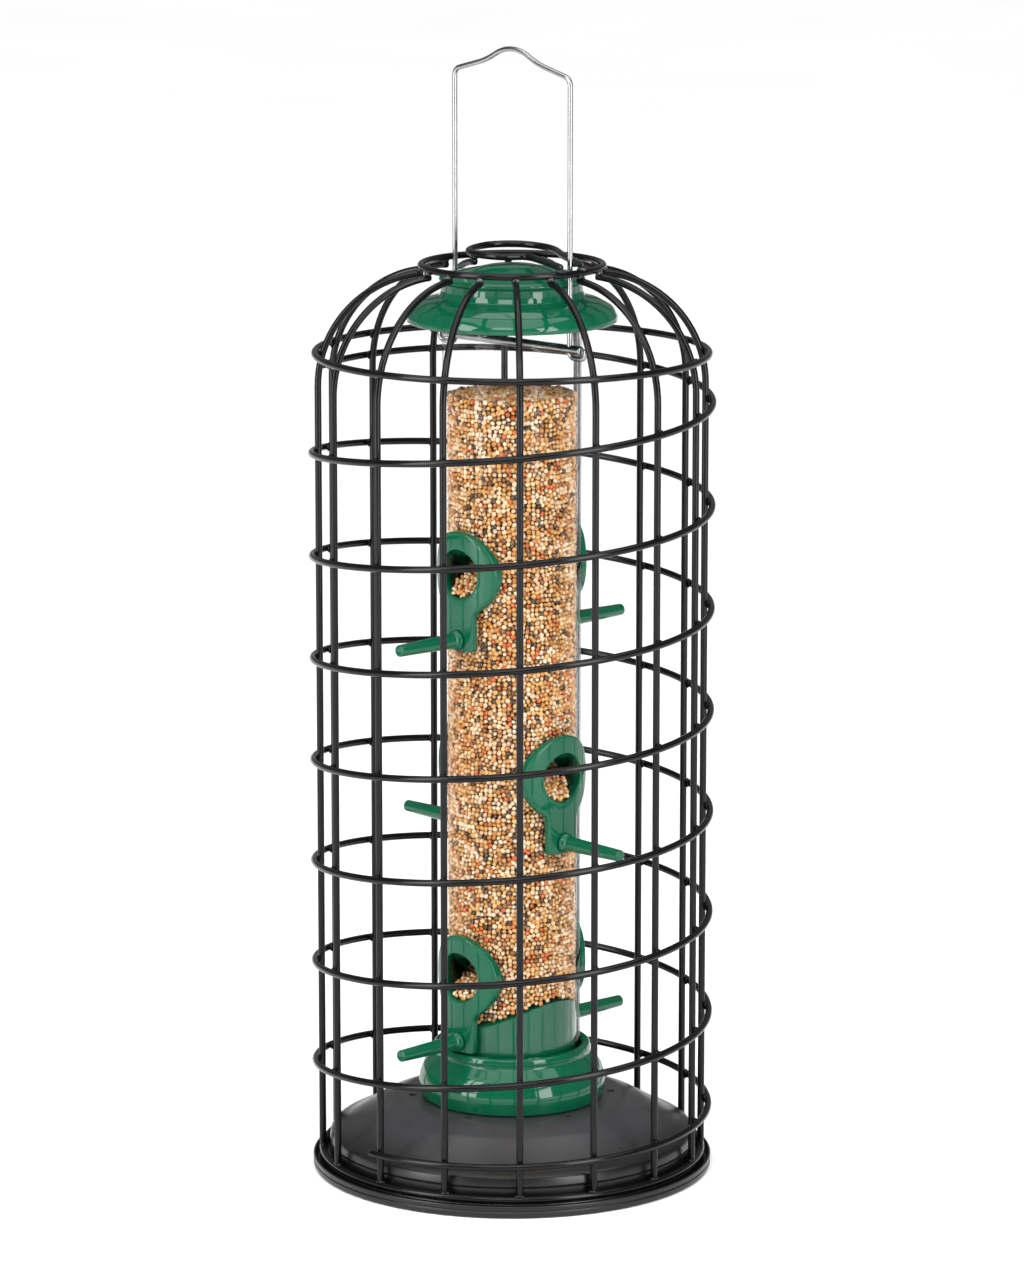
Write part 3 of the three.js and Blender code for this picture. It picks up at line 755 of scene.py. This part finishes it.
# ---- Tray and its bolt -------------------------------------------------------
LEDGE_Z = BASE_RING_Z - WIRE_R - GAP
tray_outline = [  # over the top from the middle to the rim, and back underneath
    (0, TRAY_TOP_Z),
    (50.5, TRAY_TOP_Z, 16),
    (60, 27.7, 20),
    (68.5, 22.8, 60),
    (75.6, 18.4, 20),
    (81.3, 16.4, 3),
    (81.9, 12.4, 1),
    (81.5, 11.2, 0.8),
    (81.5, LEDGE_Z, 0.6),
    (85.2, LEDGE_Z, 0.8),
    (85.6, TRAY_T, 1.2),
    (88, TRAY_T, 1.2),
    (88.2, 5.4, 0.4),
    (89.25, 5.4, 0.5),
    (89.25, 3.4, 0.2),
    (88.85, 2.95, 0.2),
    (89.25, 2.5, 0.2),
    (89.25, 0, 1.1),
    (84.8, 0, 0.8),
    (84.4, LEDGE_Z - TRAY_T, 0.6),
    (80.5, LEDGE_Z - TRAY_T, 0.4),
    (80.5, 15.6, 2),
    (75.2, 17.4, 20),
    (68, 21.9, 60),
    (59.5, 26.7, 20),
    (50.2, TRAY_TOP_Z - TRAY_T, 16),
    (0, TRAY_TOP_Z - TRAY_T),
]
tray = turned("tray_sheet", rounded(tray_outline), 240)


def drill(radius, centre, reach, segments=32):
    """An upright pin that reaches as far above its centre as below."""
    outline = cylinder(radius, centre.z - reach, centre.z + reach)
    made = turned("pin", outline, segments)
    made.data.transform(Matrix.Translation((centre.x * MM, centre.y * MM, 0)))
    return made


drills = [drill(BOLT_R + 0.4, Vector((0, 0, TRAY_TOP_Z)), 5)]
for i in range(DRAIN_HOLES):
    centre = around(DRAIN_CIRCLE_R, FIRST_DRAIN_TURN + i * 360 / DRAIN_HOLES, TRAY_TOP_Z)
    drills.append(drill(DRAIN_HOLE_R, centre, 5))
settle(boolean(tray, drills), "feeder", TRAY_PAINT, ["tray"])

WASHER_TOP_Z = TRAY_TOP_Z - TRAY_T - GAP
WASHER_BOTTOM_Z = 29.4
HEAD_TOP_Z = WASHER_BOTTOM_Z - GAP
BOLT_TIP_Z = CUP_FLOOR_Z + 5.3
washer_outline = [
    (BOLT_R + 0.3, WASHER_BOTTOM_Z, 0.1),
    (6, WASHER_BOTTOM_Z, 0.3),
    (6, WASHER_TOP_Z, 0.3),
    (BOLT_R + 0.3, WASHER_TOP_Z, 0.1),
]
washer = turned("washer", rounded(washer_outline, 3), 64)
settle(washer, "feeder", BRIGHT_WIRE, ["tray_washer"])
bolt_outline = [
    (0, HEAD_TOP_Z - 2.6),
    (3, HEAD_TOP_Z - 2.4, 1.5),
    (4, HEAD_TOP_Z - 0.9, 0.8),
    (4, HEAD_TOP_Z, 0.2),
    (BOLT_R, HEAD_TOP_Z),
    (BOLT_R, BOLT_TIP_Z, 0.4),
    (0, BOLT_TIP_Z),
]
bolt = turned("bolt", rounded(bolt_outline, 4, closed=False), 64)
boolean(bolt, [block("slot", (-3.2, 3.2), (-0.5, 0.5), (HEAD_TOP_Z - 4, HEAD_TOP_Z - 1.5))])
settle(bolt, "feeder", BRIGHT_WIRE, ["tray_bolt"])
coat(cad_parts["tray_nut"], BRIGHT_WIRE)

# ---- Base cup ----------------------------------------------------------------
cup_outline = [  # underneath, up inside the skirt, up the outside, and down into the socket
    (BOLT_R + 0.4, CUP_BOTTOM_Z),
    (8, CUP_BOTTOM_Z, 0.3),
    (8, 34, 0.3),
    (CUP_SOCKET_R + 1.7, 34, 0.5),
    (CUP_SOCKET_R + 1.7, 49, 1),
    (33.8, 51, 0.8),
    (38.6, 40, 12),
    (38.9, CUP_BOTTOM_Z, 0.2),
    (40.5, CUP_BOTTOM_Z, 1.8),
    (42.1, 39.6, 10),
    (39.6, 46.9, 9),
    (34.6, 52, 1.5),
    (35.2, 54, 0.8),
    (34.6, 56.3, 1.2),
    (31.8, 56.3, 0.7),
    (CUP_SOCKET_R, 55.4, 0.6),
    (CUP_SOCKET_R, CUP_FLOOR_Z, 0.5),
    (BOLT_R + 0.4, CUP_FLOOR_Z),
]
cup = turned("base_moulding", rounded(cup_outline), 200)
settle(cup, "feeder", GREEN_PLASTIC, ["base_cup"])

# ---- Ports and perches -------------------------------------------------------
PORTS = [  # (name, turn, height of the hole's centre)
    ("low_left", -90, PORT_PITCH_Z),
    ("low_right", 90, PORT_PITCH_Z),
    ("mid_front", 0, 2 * PORT_PITCH_Z),
    ("mid_back", 180, 2 * PORT_PITCH_Z),
    ("top_left", -90, 3 * PORT_PITCH_Z),
    ("top_right", 90, 3 * PORT_PITCH_Z),
]
STEM_FILLET = 5
STEM_CORNER = 1.2


def port_outline():
    """The plate's edge seen from outside: a round head that runs into a straight stem."""
    half = PORT_STEM_HALF_WIDTH
    centre_x = half + STEM_FILLET
    centre_z = -math.sqrt((PORT_HEAD_R + STEM_FILLET) ** 2 - centre_x**2)
    meet = math.atan2(centre_z, centre_x)
    right = []
    for k in range(31):
        angle = math.pi / 2 + (meet - math.pi / 2) * k / 30
        right.append((PORT_HEAD_R * math.cos(angle), PORT_HEAD_R * math.sin(angle)))
    for k in range(1, 9):
        angle = meet + math.pi - meet * k / 8
        x = centre_x + STEM_FILLET * math.cos(angle)
        right.append((x, centre_z + STEM_FILLET * math.sin(angle)))
    bottom = -PORT_STEM_DROP
    corner_x, corner_z = half - STEM_CORNER, bottom + STEM_CORNER
    for k in range(1, 5):
        right.append((half, centre_z + (corner_z - centre_z) * k / 5))
    for k in range(6):
        angle = math.radians(18 * k)
        x = corner_x + STEM_CORNER * math.cos(angle)
        right.append((x, corner_z - STEM_CORNER * math.sin(angle)))
    for k in range(1, 4):
        right.append((corner_x * (1 - k / 4), bottom))
    left = [(-x, z) for x, z in reversed(right[1:])]
    return [Vector(p) for p in right + [(0, bottom)] + left]


def port_plate():
    """The plate round the hole, bent to the tube, with its edges rounded over."""
    edge = port_outline()
    count = len(edge)
    soft = 0.6
    arc = [math.radians(a) for a in (0, 22.5, 45, 67.5, 90)]
    points = []
    for i, outer in enumerate(edge):
        along = (edge[(i + 1) % count] - edge[i - 1]).normalized()
        outward = Vector((-along.y, along.x))
        if outward.dot(outer) < 0:
            outward = -outward
        inward = outer.normalized()
        hole = inward * PORT_HOLE_R
        section = [(hole, 0)]
        section += [
            (hole + inward * soft * (1 - math.cos(a)), PORT_PLATE_T - soft * (1 - math.sin(a)))
            for a in arc
        ]
        inner_end, outer_end = hole + inward * soft, outer - outward * soft
        section += [(inner_end.lerp(outer_end, t / 6), PORT_PLATE_T) for t in range(1, 6)]
        section += [
            (outer - outward * soft * (1 - math.sin(a)), PORT_PLATE_T - soft * (1 - math.cos(a)))
            for a in arc
        ]
        section += [(outer, 0)]
        section += [(outer.lerp(hole, t / 6), 0) for t in range(1, 6)]
        for flat, height in section:
            r = PORT_PLATE_R + height
            points.append((flat.x, -math.sqrt(r * r - flat.x**2), flat.y))
    size = len(points) // count
    faces = []
    for i in range(count):
        j = (i + 1) % count
        for k in range(size):
            n = (k + 1) % size
            faces.append((i * size + k, j * size + k, j * size + n, i * size + n))
    return make_object("port_plate", points, faces)


def port_hood():
    """The short hood inside the tube that keeps the seed back from the hole."""
    hood = pin(HOOD_R, HOOD_INNER_R, PORT_PLATE_R + 1, 0, 0, 64)
    boolean(hood, [half_space(1, PORT_PLATE_R, PORT_HOLE_R + 1, HOOD_ROOF_RISE)])
    boolean(hood, [half_space(-1, TUBE_BORE_R, 0.4 - SEED_DROP, -SEED_SLOPE)])
    throat = pin(PORT_HOLE_R, 5, 45, 0, 0, 64)
    under_roof = half_space(-1, PORT_PLATE_R, PORT_HOLE_R - 0.8, HOOD_ROOF_RISE)
    boolean(throat, [under_roof], "INTERSECT")
    return boolean(hood, [throat])


port = boolean(port_plate(), [port_hood()], "UNION")
boolean(port, [pin(PEG_R + GAP, 20, 45, 0, -PERCH_DROP, 32)])
PLATE_FACE_R = PORT_PLATE_R + PORT_PLATE_T
perch_outline = [
    (0, PEG_INNER_R),
    (PEG_R, PEG_INNER_R, 0.7),
    (PEG_R, PLATE_FACE_R + GAP),
    (4.6, PLATE_FACE_R + GAP, 0.3),
    (4.5, PLATE_FACE_R + 1.4, 0.8),
    (3.35, PLATE_FACE_R + 3.2, 3),
    (2.6, PERCH_TIP_R, 0.7),
    (0, PERCH_TIP_R),
]
for name, turn, z in PORTS:
    plate = copied(port, "plate_" + name, turn, z)
    settle(plate, "feeder", PORT_PLASTIC, ["port_" + name])
    outline = rounded(perch_outline, 5, closed=False)
    rest = turned_outwards("rest_" + name, outline, turn, z - PERCH_DROP)
    settle(rest, "feeder", GREEN_PLASTIC, ["perch_" + name])
bpy.data.objects.remove(port)


# ---- Tube and baffle ---------------------------------------------------------
def tube_outline():
    """The tube's wall in rows, so that no face beside a hole is long and thin."""
    rows = 60
    length = TUBE_TOP_Z - TUBE_BOTTOM_Z
    outer = [(TUBE_R, TUBE_BOTTOM_Z + length * k / rows) for k in range(rows + 1)]
    inner = [(TUBE_BORE_R, z) for _, z in reversed(outer)]
    return outer + inner


tube = turned("tube_wall", tube_outline(), 128)
cutters = []
for _, turn, z in PORTS:
    cutters.append(pin(HOOD_R + 0.4, *WALL_PASS, turn, z, 64))
    cutters.append(pin(PEG_R + 0.4, *WALL_PASS, turn, z - PERCH_DROP, 32))
for turn in (ROD_TURN, ROD_TURN + 180):
    cutters.append(pin(ROD_R + 0.4, *WALL_PASS, turn, ROD_Z, 32))
settle(boolean(tube, cutters), "feeder", CLEAR_PLASTIC, ["seed_tube"])


def roof_z(x, crown_z=ROOF_CROWN_Z):
    return crown_z - ROOF_FALL * x * x


def under_roof(crown_z):
    """The space under a rounded roof that runs from front to back and falls to the low ports."""
    reach, steps = 40, 60
    xs = [reach * (1 - 2 * k / steps) for k in range(steps + 1)]
    gable = [(-reach, 0), (reach, 0)] + [(x, roof_z(x, crown_z)) for x in xs]
    count = len(gable)
    points = [(x, y, z) for y in (-reach, reach) for x, z in gable]
    faces = [tuple(range(count)), tuple(range(2 * count - 1, count - 1, -1))]
    faces += [(k, (k + 1) % count, (k + 1) % count + count, k + count) for k in range(count)]
    return make_object("under_roof", points, faces)


BAFFLE_WALL = 1.5
baffle = turned("seed_roof", cylinder(SEED_R, TUBE_BOTTOM_Z, ROOF_CROWN_Z + 1), 160)
boolean(baffle, [under_roof(ROOF_CROWN_Z)], "INTERSECT")
hollow = turned("hollow", cylinder(SEED_R - BAFFLE_WALL, TUBE_BOTTOM_Z - 1, ROOF_CROWN_Z + 1), 96)
boolean(hollow, [under_roof(ROOF_CROWN_Z - BAFFLE_WALL)], "INTERSECT")
peg_holes = [pin(PEG_R + 0.4, *WALL_PASS, turn, z - PERCH_DROP, 32) for _, turn, z in PORTS[:2]]
boolean(baffle, [hollow, *peg_holes])
settle(baffle, "feeder", GREEN_PLASTIC, ["baffle"])

# ---- Seed --------------------------------------------------------------------
SEED_SIZE = 1.22  # half the length of a middling seed
SEED_SPACING = 2.14
OUTER_DEPTH = 1.25  # of the seeds against the tube's wall, and then of those behind them
INNER_DEPTH = 2.8
CORE_DEPTH = 3.4
MOUTH_LIP_R = 31.2  # where the seed in a port's mouth ends
MOUTH_LIP_UP = -8.8
chance = random.Random(7)


def port_space(p):
    """Where p is seen from each port: (out, sideways, height above the hole's centre)."""
    for _, turn, z in PORTS:
        out_way = around(1, turn, 0)
        side_way = around(1, turn + 90, 0)
        flat = Vector((p.x, p.y, 0))
        yield flat.dot(out_way), flat.dot(side_way), p.z - z


def in_seed(p, margin=0.9):
    """Is p inside the heap of seed, clear of the roof, the ports' hoods and the pegs?"""
    if p.z < roof_z(p.x) + margin * 1.25:
        return False
    for out, side, up in port_space(p):
        if out < HOOD_INNER_R - margin:
            continue
        in_pipe = math.hypot(side, up) < HOOD_R + margin
        roof = PORT_HOLE_R + 1 + (out - PORT_PLATE_R) * math.tan(math.radians(HOOD_ROOF_RISE))
        slope = -SEED_DROP + (TUBE_BORE_R - out) * math.tan(math.radians(SEED_SLOPE))
        if in_pipe and slope - 0.5 < up < roof + margin * 1.4:
            return False
        if math.hypot(side, up + PERCH_DROP) < PEG_R + margin and out > PEG_INNER_R - margin:
            return False
    return True


def spread(points, spacing, rounds, put_back):
    """Pushes points apart to about their spacing; put_back returns each one to its surface."""
    for _ in range(rounds):
        tree = KDTree(len(points))
        for i, p in enumerate(points):
            tree.insert(p, i)
        tree.balance()
        moved = []
        for i, p in enumerate(points):
            push = Vector()
            for q, j, distance in tree.find_range(p, spacing):
                if j != i and distance > 1e-6:
                    push += (p - q) * ((spacing - distance) / distance * 0.4)
            moved.append(put_back(p + push))
        points = moved
    return points


def wall_seeds(r, spacing):
    """Seeds that lie against the tube's wall, in the loose packing of a poured heap."""
    bottom, top = 60, SEED_TOP_Z + 0.4
    across = round(2 * math.pi * r / spacing)
    rows = round((top - bottom) / (spacing * 0.9))
    points = []
    for row in range(rows):
        for k in range(across):
            turn = 360 * (k + chance.uniform(0, 0.9)) / across
            z = bottom + (top - bottom) * (row + chance.uniform(0, 0.9)) / rows
            points.append(around(r, turn, z))

    def put_back(p):
        flat = Vector((p.x, p.y, 0)).normalized() * r
        return Vector((flat.x, flat.y, min(max(p.z, bottom), top)))

    return spread(points, spacing * 1.04, 6, put_back)


def top_seeds(z, spacing):
    """Seeds on the heap's nearly flat top."""
    limit = SEED_R - SEED_SIZE
    points = []
    steps = math.ceil(limit / spacing)
    for a in range(-steps, steps + 1):
        for b in range(-steps, steps + 1):
            x = (a + chance.uniform(-0.4, 0.4)) * spacing
            y = (b + chance.uniform(-0.4, 0.4)) * spacing
            if math.hypot(x, y) < limit:
                points.append(Vector((x, y, z)))

    def put_back(p):
        flat = Vector((p.x, p.y, 0))
        if flat.length > limit:
            flat *= limit / flat.length
        rise = 1.3 * (1 - (flat.length / limit) ** 2)
        return Vector((flat.x, flat.y, z + rise))

    return spread(points, spacing, 4, put_back)


def mouth_seeds(turn, hole_z, spacing):
    """Seeds on the slope inside a port, two deep, out to the lip of its hole."""
    points = []
    slope = math.tan(math.radians(SEED_SLOPE))
    for a in range(-6, 7):
        for b in range(10):
            for depth in (0, spacing * 0.7):
                side = (a + chance.uniform(-0.35, 0.35)) * spacing
                out = MOUTH_LIP_R - (b + chance.uniform(-0.3, 0.3)) * spacing * 0.86
                up = MOUTH_LIP_UP + (MOUTH_LIP_R - out) * slope - depth + chance.uniform(-0.2, 0.2)
                if math.hypot(side, up) < PORT_HOLE_R - 0.8 and out > HOOD_INNER_R - 1:
                    points.append(around(out, turn, hole_z + up) + around(side, turn + 90, 0))
    return points


def seed_meshes(label, places, material, per_piece=4500):
    """One mesh for every few thousand seeds, each seed an egg of its own size, tilt and kind."""
    shape, shape_faces = map(np.array, ball(7, 4, triangles=True))
    places = sorted(places, key=lambda p: p.z)
    for first in range(0, len(places), per_piece):
        batch = places[first : first + per_piece]
        points = np.empty((len(batch), len(shape), 3))
        kinds = np.empty(len(batch))
        for i, p in enumerate(batch):
            kinds[i] = chance.random()
            size = SEED_SIZE * chance.uniform(0.8, 1.22)
            form = size * np.array([1, chance.uniform(0.8, 0.95), chance.uniform(0.68, 0.86)])
            tilt = Euler([chance.uniform(0, 2 * math.pi) for _ in range(3)]).to_matrix()
            points[i] = (shape * form) @ np.array(tilt).T + np.array(p)
        faces = shape_faces[None] + (np.arange(len(batch)) * len(shape))[:, None, None]
        name = f"{label}_{first // per_piece + 1}"
        mesh = bpy.data.meshes.new(name)
        mesh.vertices.add(points.shape[0] * points.shape[1])
        mesh.vertices.foreach_set("co", (points * MM).ravel())
        mesh.loops.add(faces.size)
        mesh.loops.foreach_set("vertex_index", faces.ravel().astype(np.int32))
        mesh.polygons.add(faces.size // 3)
        mesh.polygons.foreach_set("loop_start", np.arange(0, faces.size, 3, dtype=np.int32))
        kind = mesh.attributes.new("kind", "FLOAT", "POINT")
        kind.data.foreach_set("value", np.repeat(kinds, len(shape)).astype(np.float32))
        mesh.update(calc_edges=True)
        mesh.shade_smooth()
        settle(add(name, mesh), "feeder", material, ["seed_fill"])


outer_seeds = wall_seeds(SEED_R - OUTER_DEPTH, SEED_SPACING)
outer_seeds += top_seeds(SEED_TOP_Z - 0.6, SEED_SPACING)
outer_seeds = [p for p in outer_seeds if in_seed(p)]
for _, turn, z in PORTS:
    outer_seeds += mouth_seeds(turn, z, SEED_SPACING * 0.95)
inner_seeds = [p for p in wall_seeds(SEED_R - INNER_DEPTH, SEED_SPACING * 1.1) if in_seed(p)]
seed_meshes("seeds", outer_seeds, SEED_COAT)
seed_meshes("inner_seeds", inner_seeds, SHADED_SEED)

core_outline = cylinder(SEED_R - CORE_DEPTH, TUBE_BOTTOM_Z + 20, SEED_TOP_Z - 1.2)
core = turned("seed_core", core_outline, 96)
hood_space = pin(HOOD_R + GAP, HOOD_INNER_R - 1.5, 40, 0, 0, 48)
boolean(hood_space, [half_space(1, PORT_PLATE_R, PORT_HOLE_R + 2.2, HOOD_ROOF_RISE)])
boolean(hood_space, [half_space(-1, TUBE_BORE_R, -SEED_DROP - 1.3, -SEED_SLOPE)])
cutters = [under_roof(ROOF_CROWN_Z + 1.4)]
for name, turn, z in PORTS:
    cutters.append(copied(hood_space, "space_" + name, turn, z))
    cutters.append(pin(PEG_R + 0.4, PEG_INNER_R - GAP, 40, turn, z - PERCH_DROP, 24))
bpy.data.objects.remove(hood_space)
settle(boolean(core, cutters), "feeder", PACKED_SEED, ["seed_fill"])

# ---- Cross rod and handle ----------------------------------------------------
rod_outline = [
    (0, -ROD_HALF_LENGTH),
    (ROD_R, -ROD_HALF_LENGTH, 1.5),
    (ROD_R, ROD_HALF_LENGTH, 1.5),
    (0, ROD_HALF_LENGTH),
]
cross_rod = turned_outwards("rod", rounded(rod_outline, 8, closed=False), ROD_TURN, ROD_Z)


def leg_drills(clearance, z, reach):
    """Pins for the holes through which the two legs of the handle pass."""
    places = [around(side * BAIL_HALF_WIDTH, ROD_TURN, z) for side in (-1, 1)]
    return [drill(BAIL_WIRE_R + clearance, place, reach) for place in places]


boolean(cross_rod, leg_drills(0.35, ROD_Z, 5))
settle(cross_rod, "feeder", BRIGHT_WIRE, ["cross_rod"])

HOOK_Z = ROD_Z - ROD_R - BAIL_WIRE_R - 0.45
HUMP_SINK = 0.15  # a round wire reaches further up than the CAD model's
half_bail = [  # (distance from the axis, height) from one foot, under the rod and up to the hump
    (43.9, ROD_Z + 1),
    (43.1, HOOK_Z, 3.5),
    (BAIL_HALF_WIDTH, HOOK_Z, 2.5),
    (BAIL_HALF_WIDTH, 489.6, 4),
    (15.5, 494.6, 40),
    (5, BAIL_TOP_Z - HUMP_SINK, 19),
]
other_half = [(-x, *rest) for x, *rest in reversed(half_bail)]
bail_path = [around(x, ROD_TURN, z) for x, z in rounded(half_bail + other_half, 10, closed=False)]
bail = wire("handle", bail_path, BAIL_WIRE_R, 16)
settle(bail, "feeder", BRIGHT_WIRE, ["bail"])

# ---- Lid ---------------------------------------------------------------------
LID_SEAT_Z = TUBE_TOP_Z + GAP
lid_outline = [  # underneath from the middle to the brim's edge, and back over the top
    (0, 404.4),
    (19, 401.8, 6),
    (29.2, 398.9, 1.5),
    (29.2, LID_SEAT_Z, 0.3),
    (TUBE_R + 0.4, LID_SEAT_Z, 0.2),
    (TUBE_R + 0.4, 381.8, 0.3),
    (32.1, 381.8, 0.3),
    (32.1, 391.2, 0.8),
    (39.8, 388.6, 6),
    (43.9, 385.4, 4),
    (44.7, 381.5, 0.3),
    (45.9, 381.5, 0.6),
    (46.45, 383.6, 3),
    (44.3, 387.8, 5),
    (38.4, 391.1, 14),
    (32, 392.8, 1.2),
    (31, 395.4, 2.5),
    (31, 398.6, 1.5),
    (32.3, 400.2, 1),
    (31.2, 401.6, 1.2),
    (20.5, 403.8, 3),
    (11, 406, 8),
    (0, 406.9),
]
lid = turned("cap", rounded(lid_outline), 200)
BRIM_Z = 391  # where the legs of the handle pass through the brim
settle(boolean(lid, leg_drills(0.7, BRIM_Z, 6)), "lid", GREEN_PLASTIC, ["lid"])

# ---- Studio ------------------------------------------------------------------
FLOOR_REACH = 15000
FLOOR_Z = -0.2  # just under the tray's rim
LIGHT_AIM = Vector((0, 0, 240))
corner_signs = ((-1, -1), (1, -1), (1, 1), (-1, 1))
floor_corners = [(a * FLOOR_REACH, b * FLOOR_REACH, FLOOR_Z) for a, b in corner_signs]
floor = make_object("floor", floor_corners, [(0, 1, 2, 3)])
coat(floor, floor_paper())
floor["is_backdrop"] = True


def aimed(name, data, place, target):
    """A lamp or camera at a place, in millimetres, that points at a target."""
    made = add(name, data)
    made.location = place * MM
    made.rotation_euler = ((target - place) * MM).to_track_quat("-Z", "Y").to_euler()
    return made


def panel(name, turn, distance, height, width, tall, power):
    """A soft panel light that faces the middle of the feeder."""
    light = bpy.data.lights.new(name, "AREA")
    light.shape = "RECTANGLE"
    light.size, light.size_y = width * MM, tall * MM
    light.energy = power
    aimed(name, light, around(distance, turn, height), LIGHT_AIM)


for name, turn in (("left_panel", CAMERA_TURN - 54), ("right_panel", CAMERA_TURN + 40)):
    panel(name, turn, distance=1700, height=650, width=620, tall=1900, power=34)
panel("front_panel", CAMERA_TURN - 8, distance=2300, height=2000, width=1300, tall=700, power=20)
overhead = bpy.data.lights.new("overhead", "SUN")
overhead.angle = math.radians(80)
overhead.energy = 3.0
aimed("overhead", overhead, around(500, CAMERA_TURN, 3000), LIGHT_AIM)

world = bpy.data.worlds.new("studio")
world.use_nodes = True
sky = world.node_tree.nodes["Background"]
sky.inputs["Color"].default_value = (1, 1, 1, 1)
sky.inputs["Strength"].default_value = 0.22
bpy.context.scene.world = world
bpy.context.scene.view_settings.view_transform = "Standard"

lens = bpy.data.cameras.new("camera")
lens.lens = CAMERA_LENS
lens.clip_end = 100
elevation = math.radians(CAMERA_ELEVATION)
camera_reach = CAMERA_DISTANCE * math.cos(elevation)
camera_z = CAMERA_AIM_Z + CAMERA_DISTANCE * math.sin(elevation)
camera_place = around(camera_reach, CAMERA_TURN, camera_z)
bpy.context.scene.camera = aimed("camera", lens, camera_place, Vector((0, 0, CAMERA_AIM_Z)))

sizes = {"cad": cad_bounds, "visual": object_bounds()}
{key: [list(corner) for corner in box] for key, box in sizes.items()}
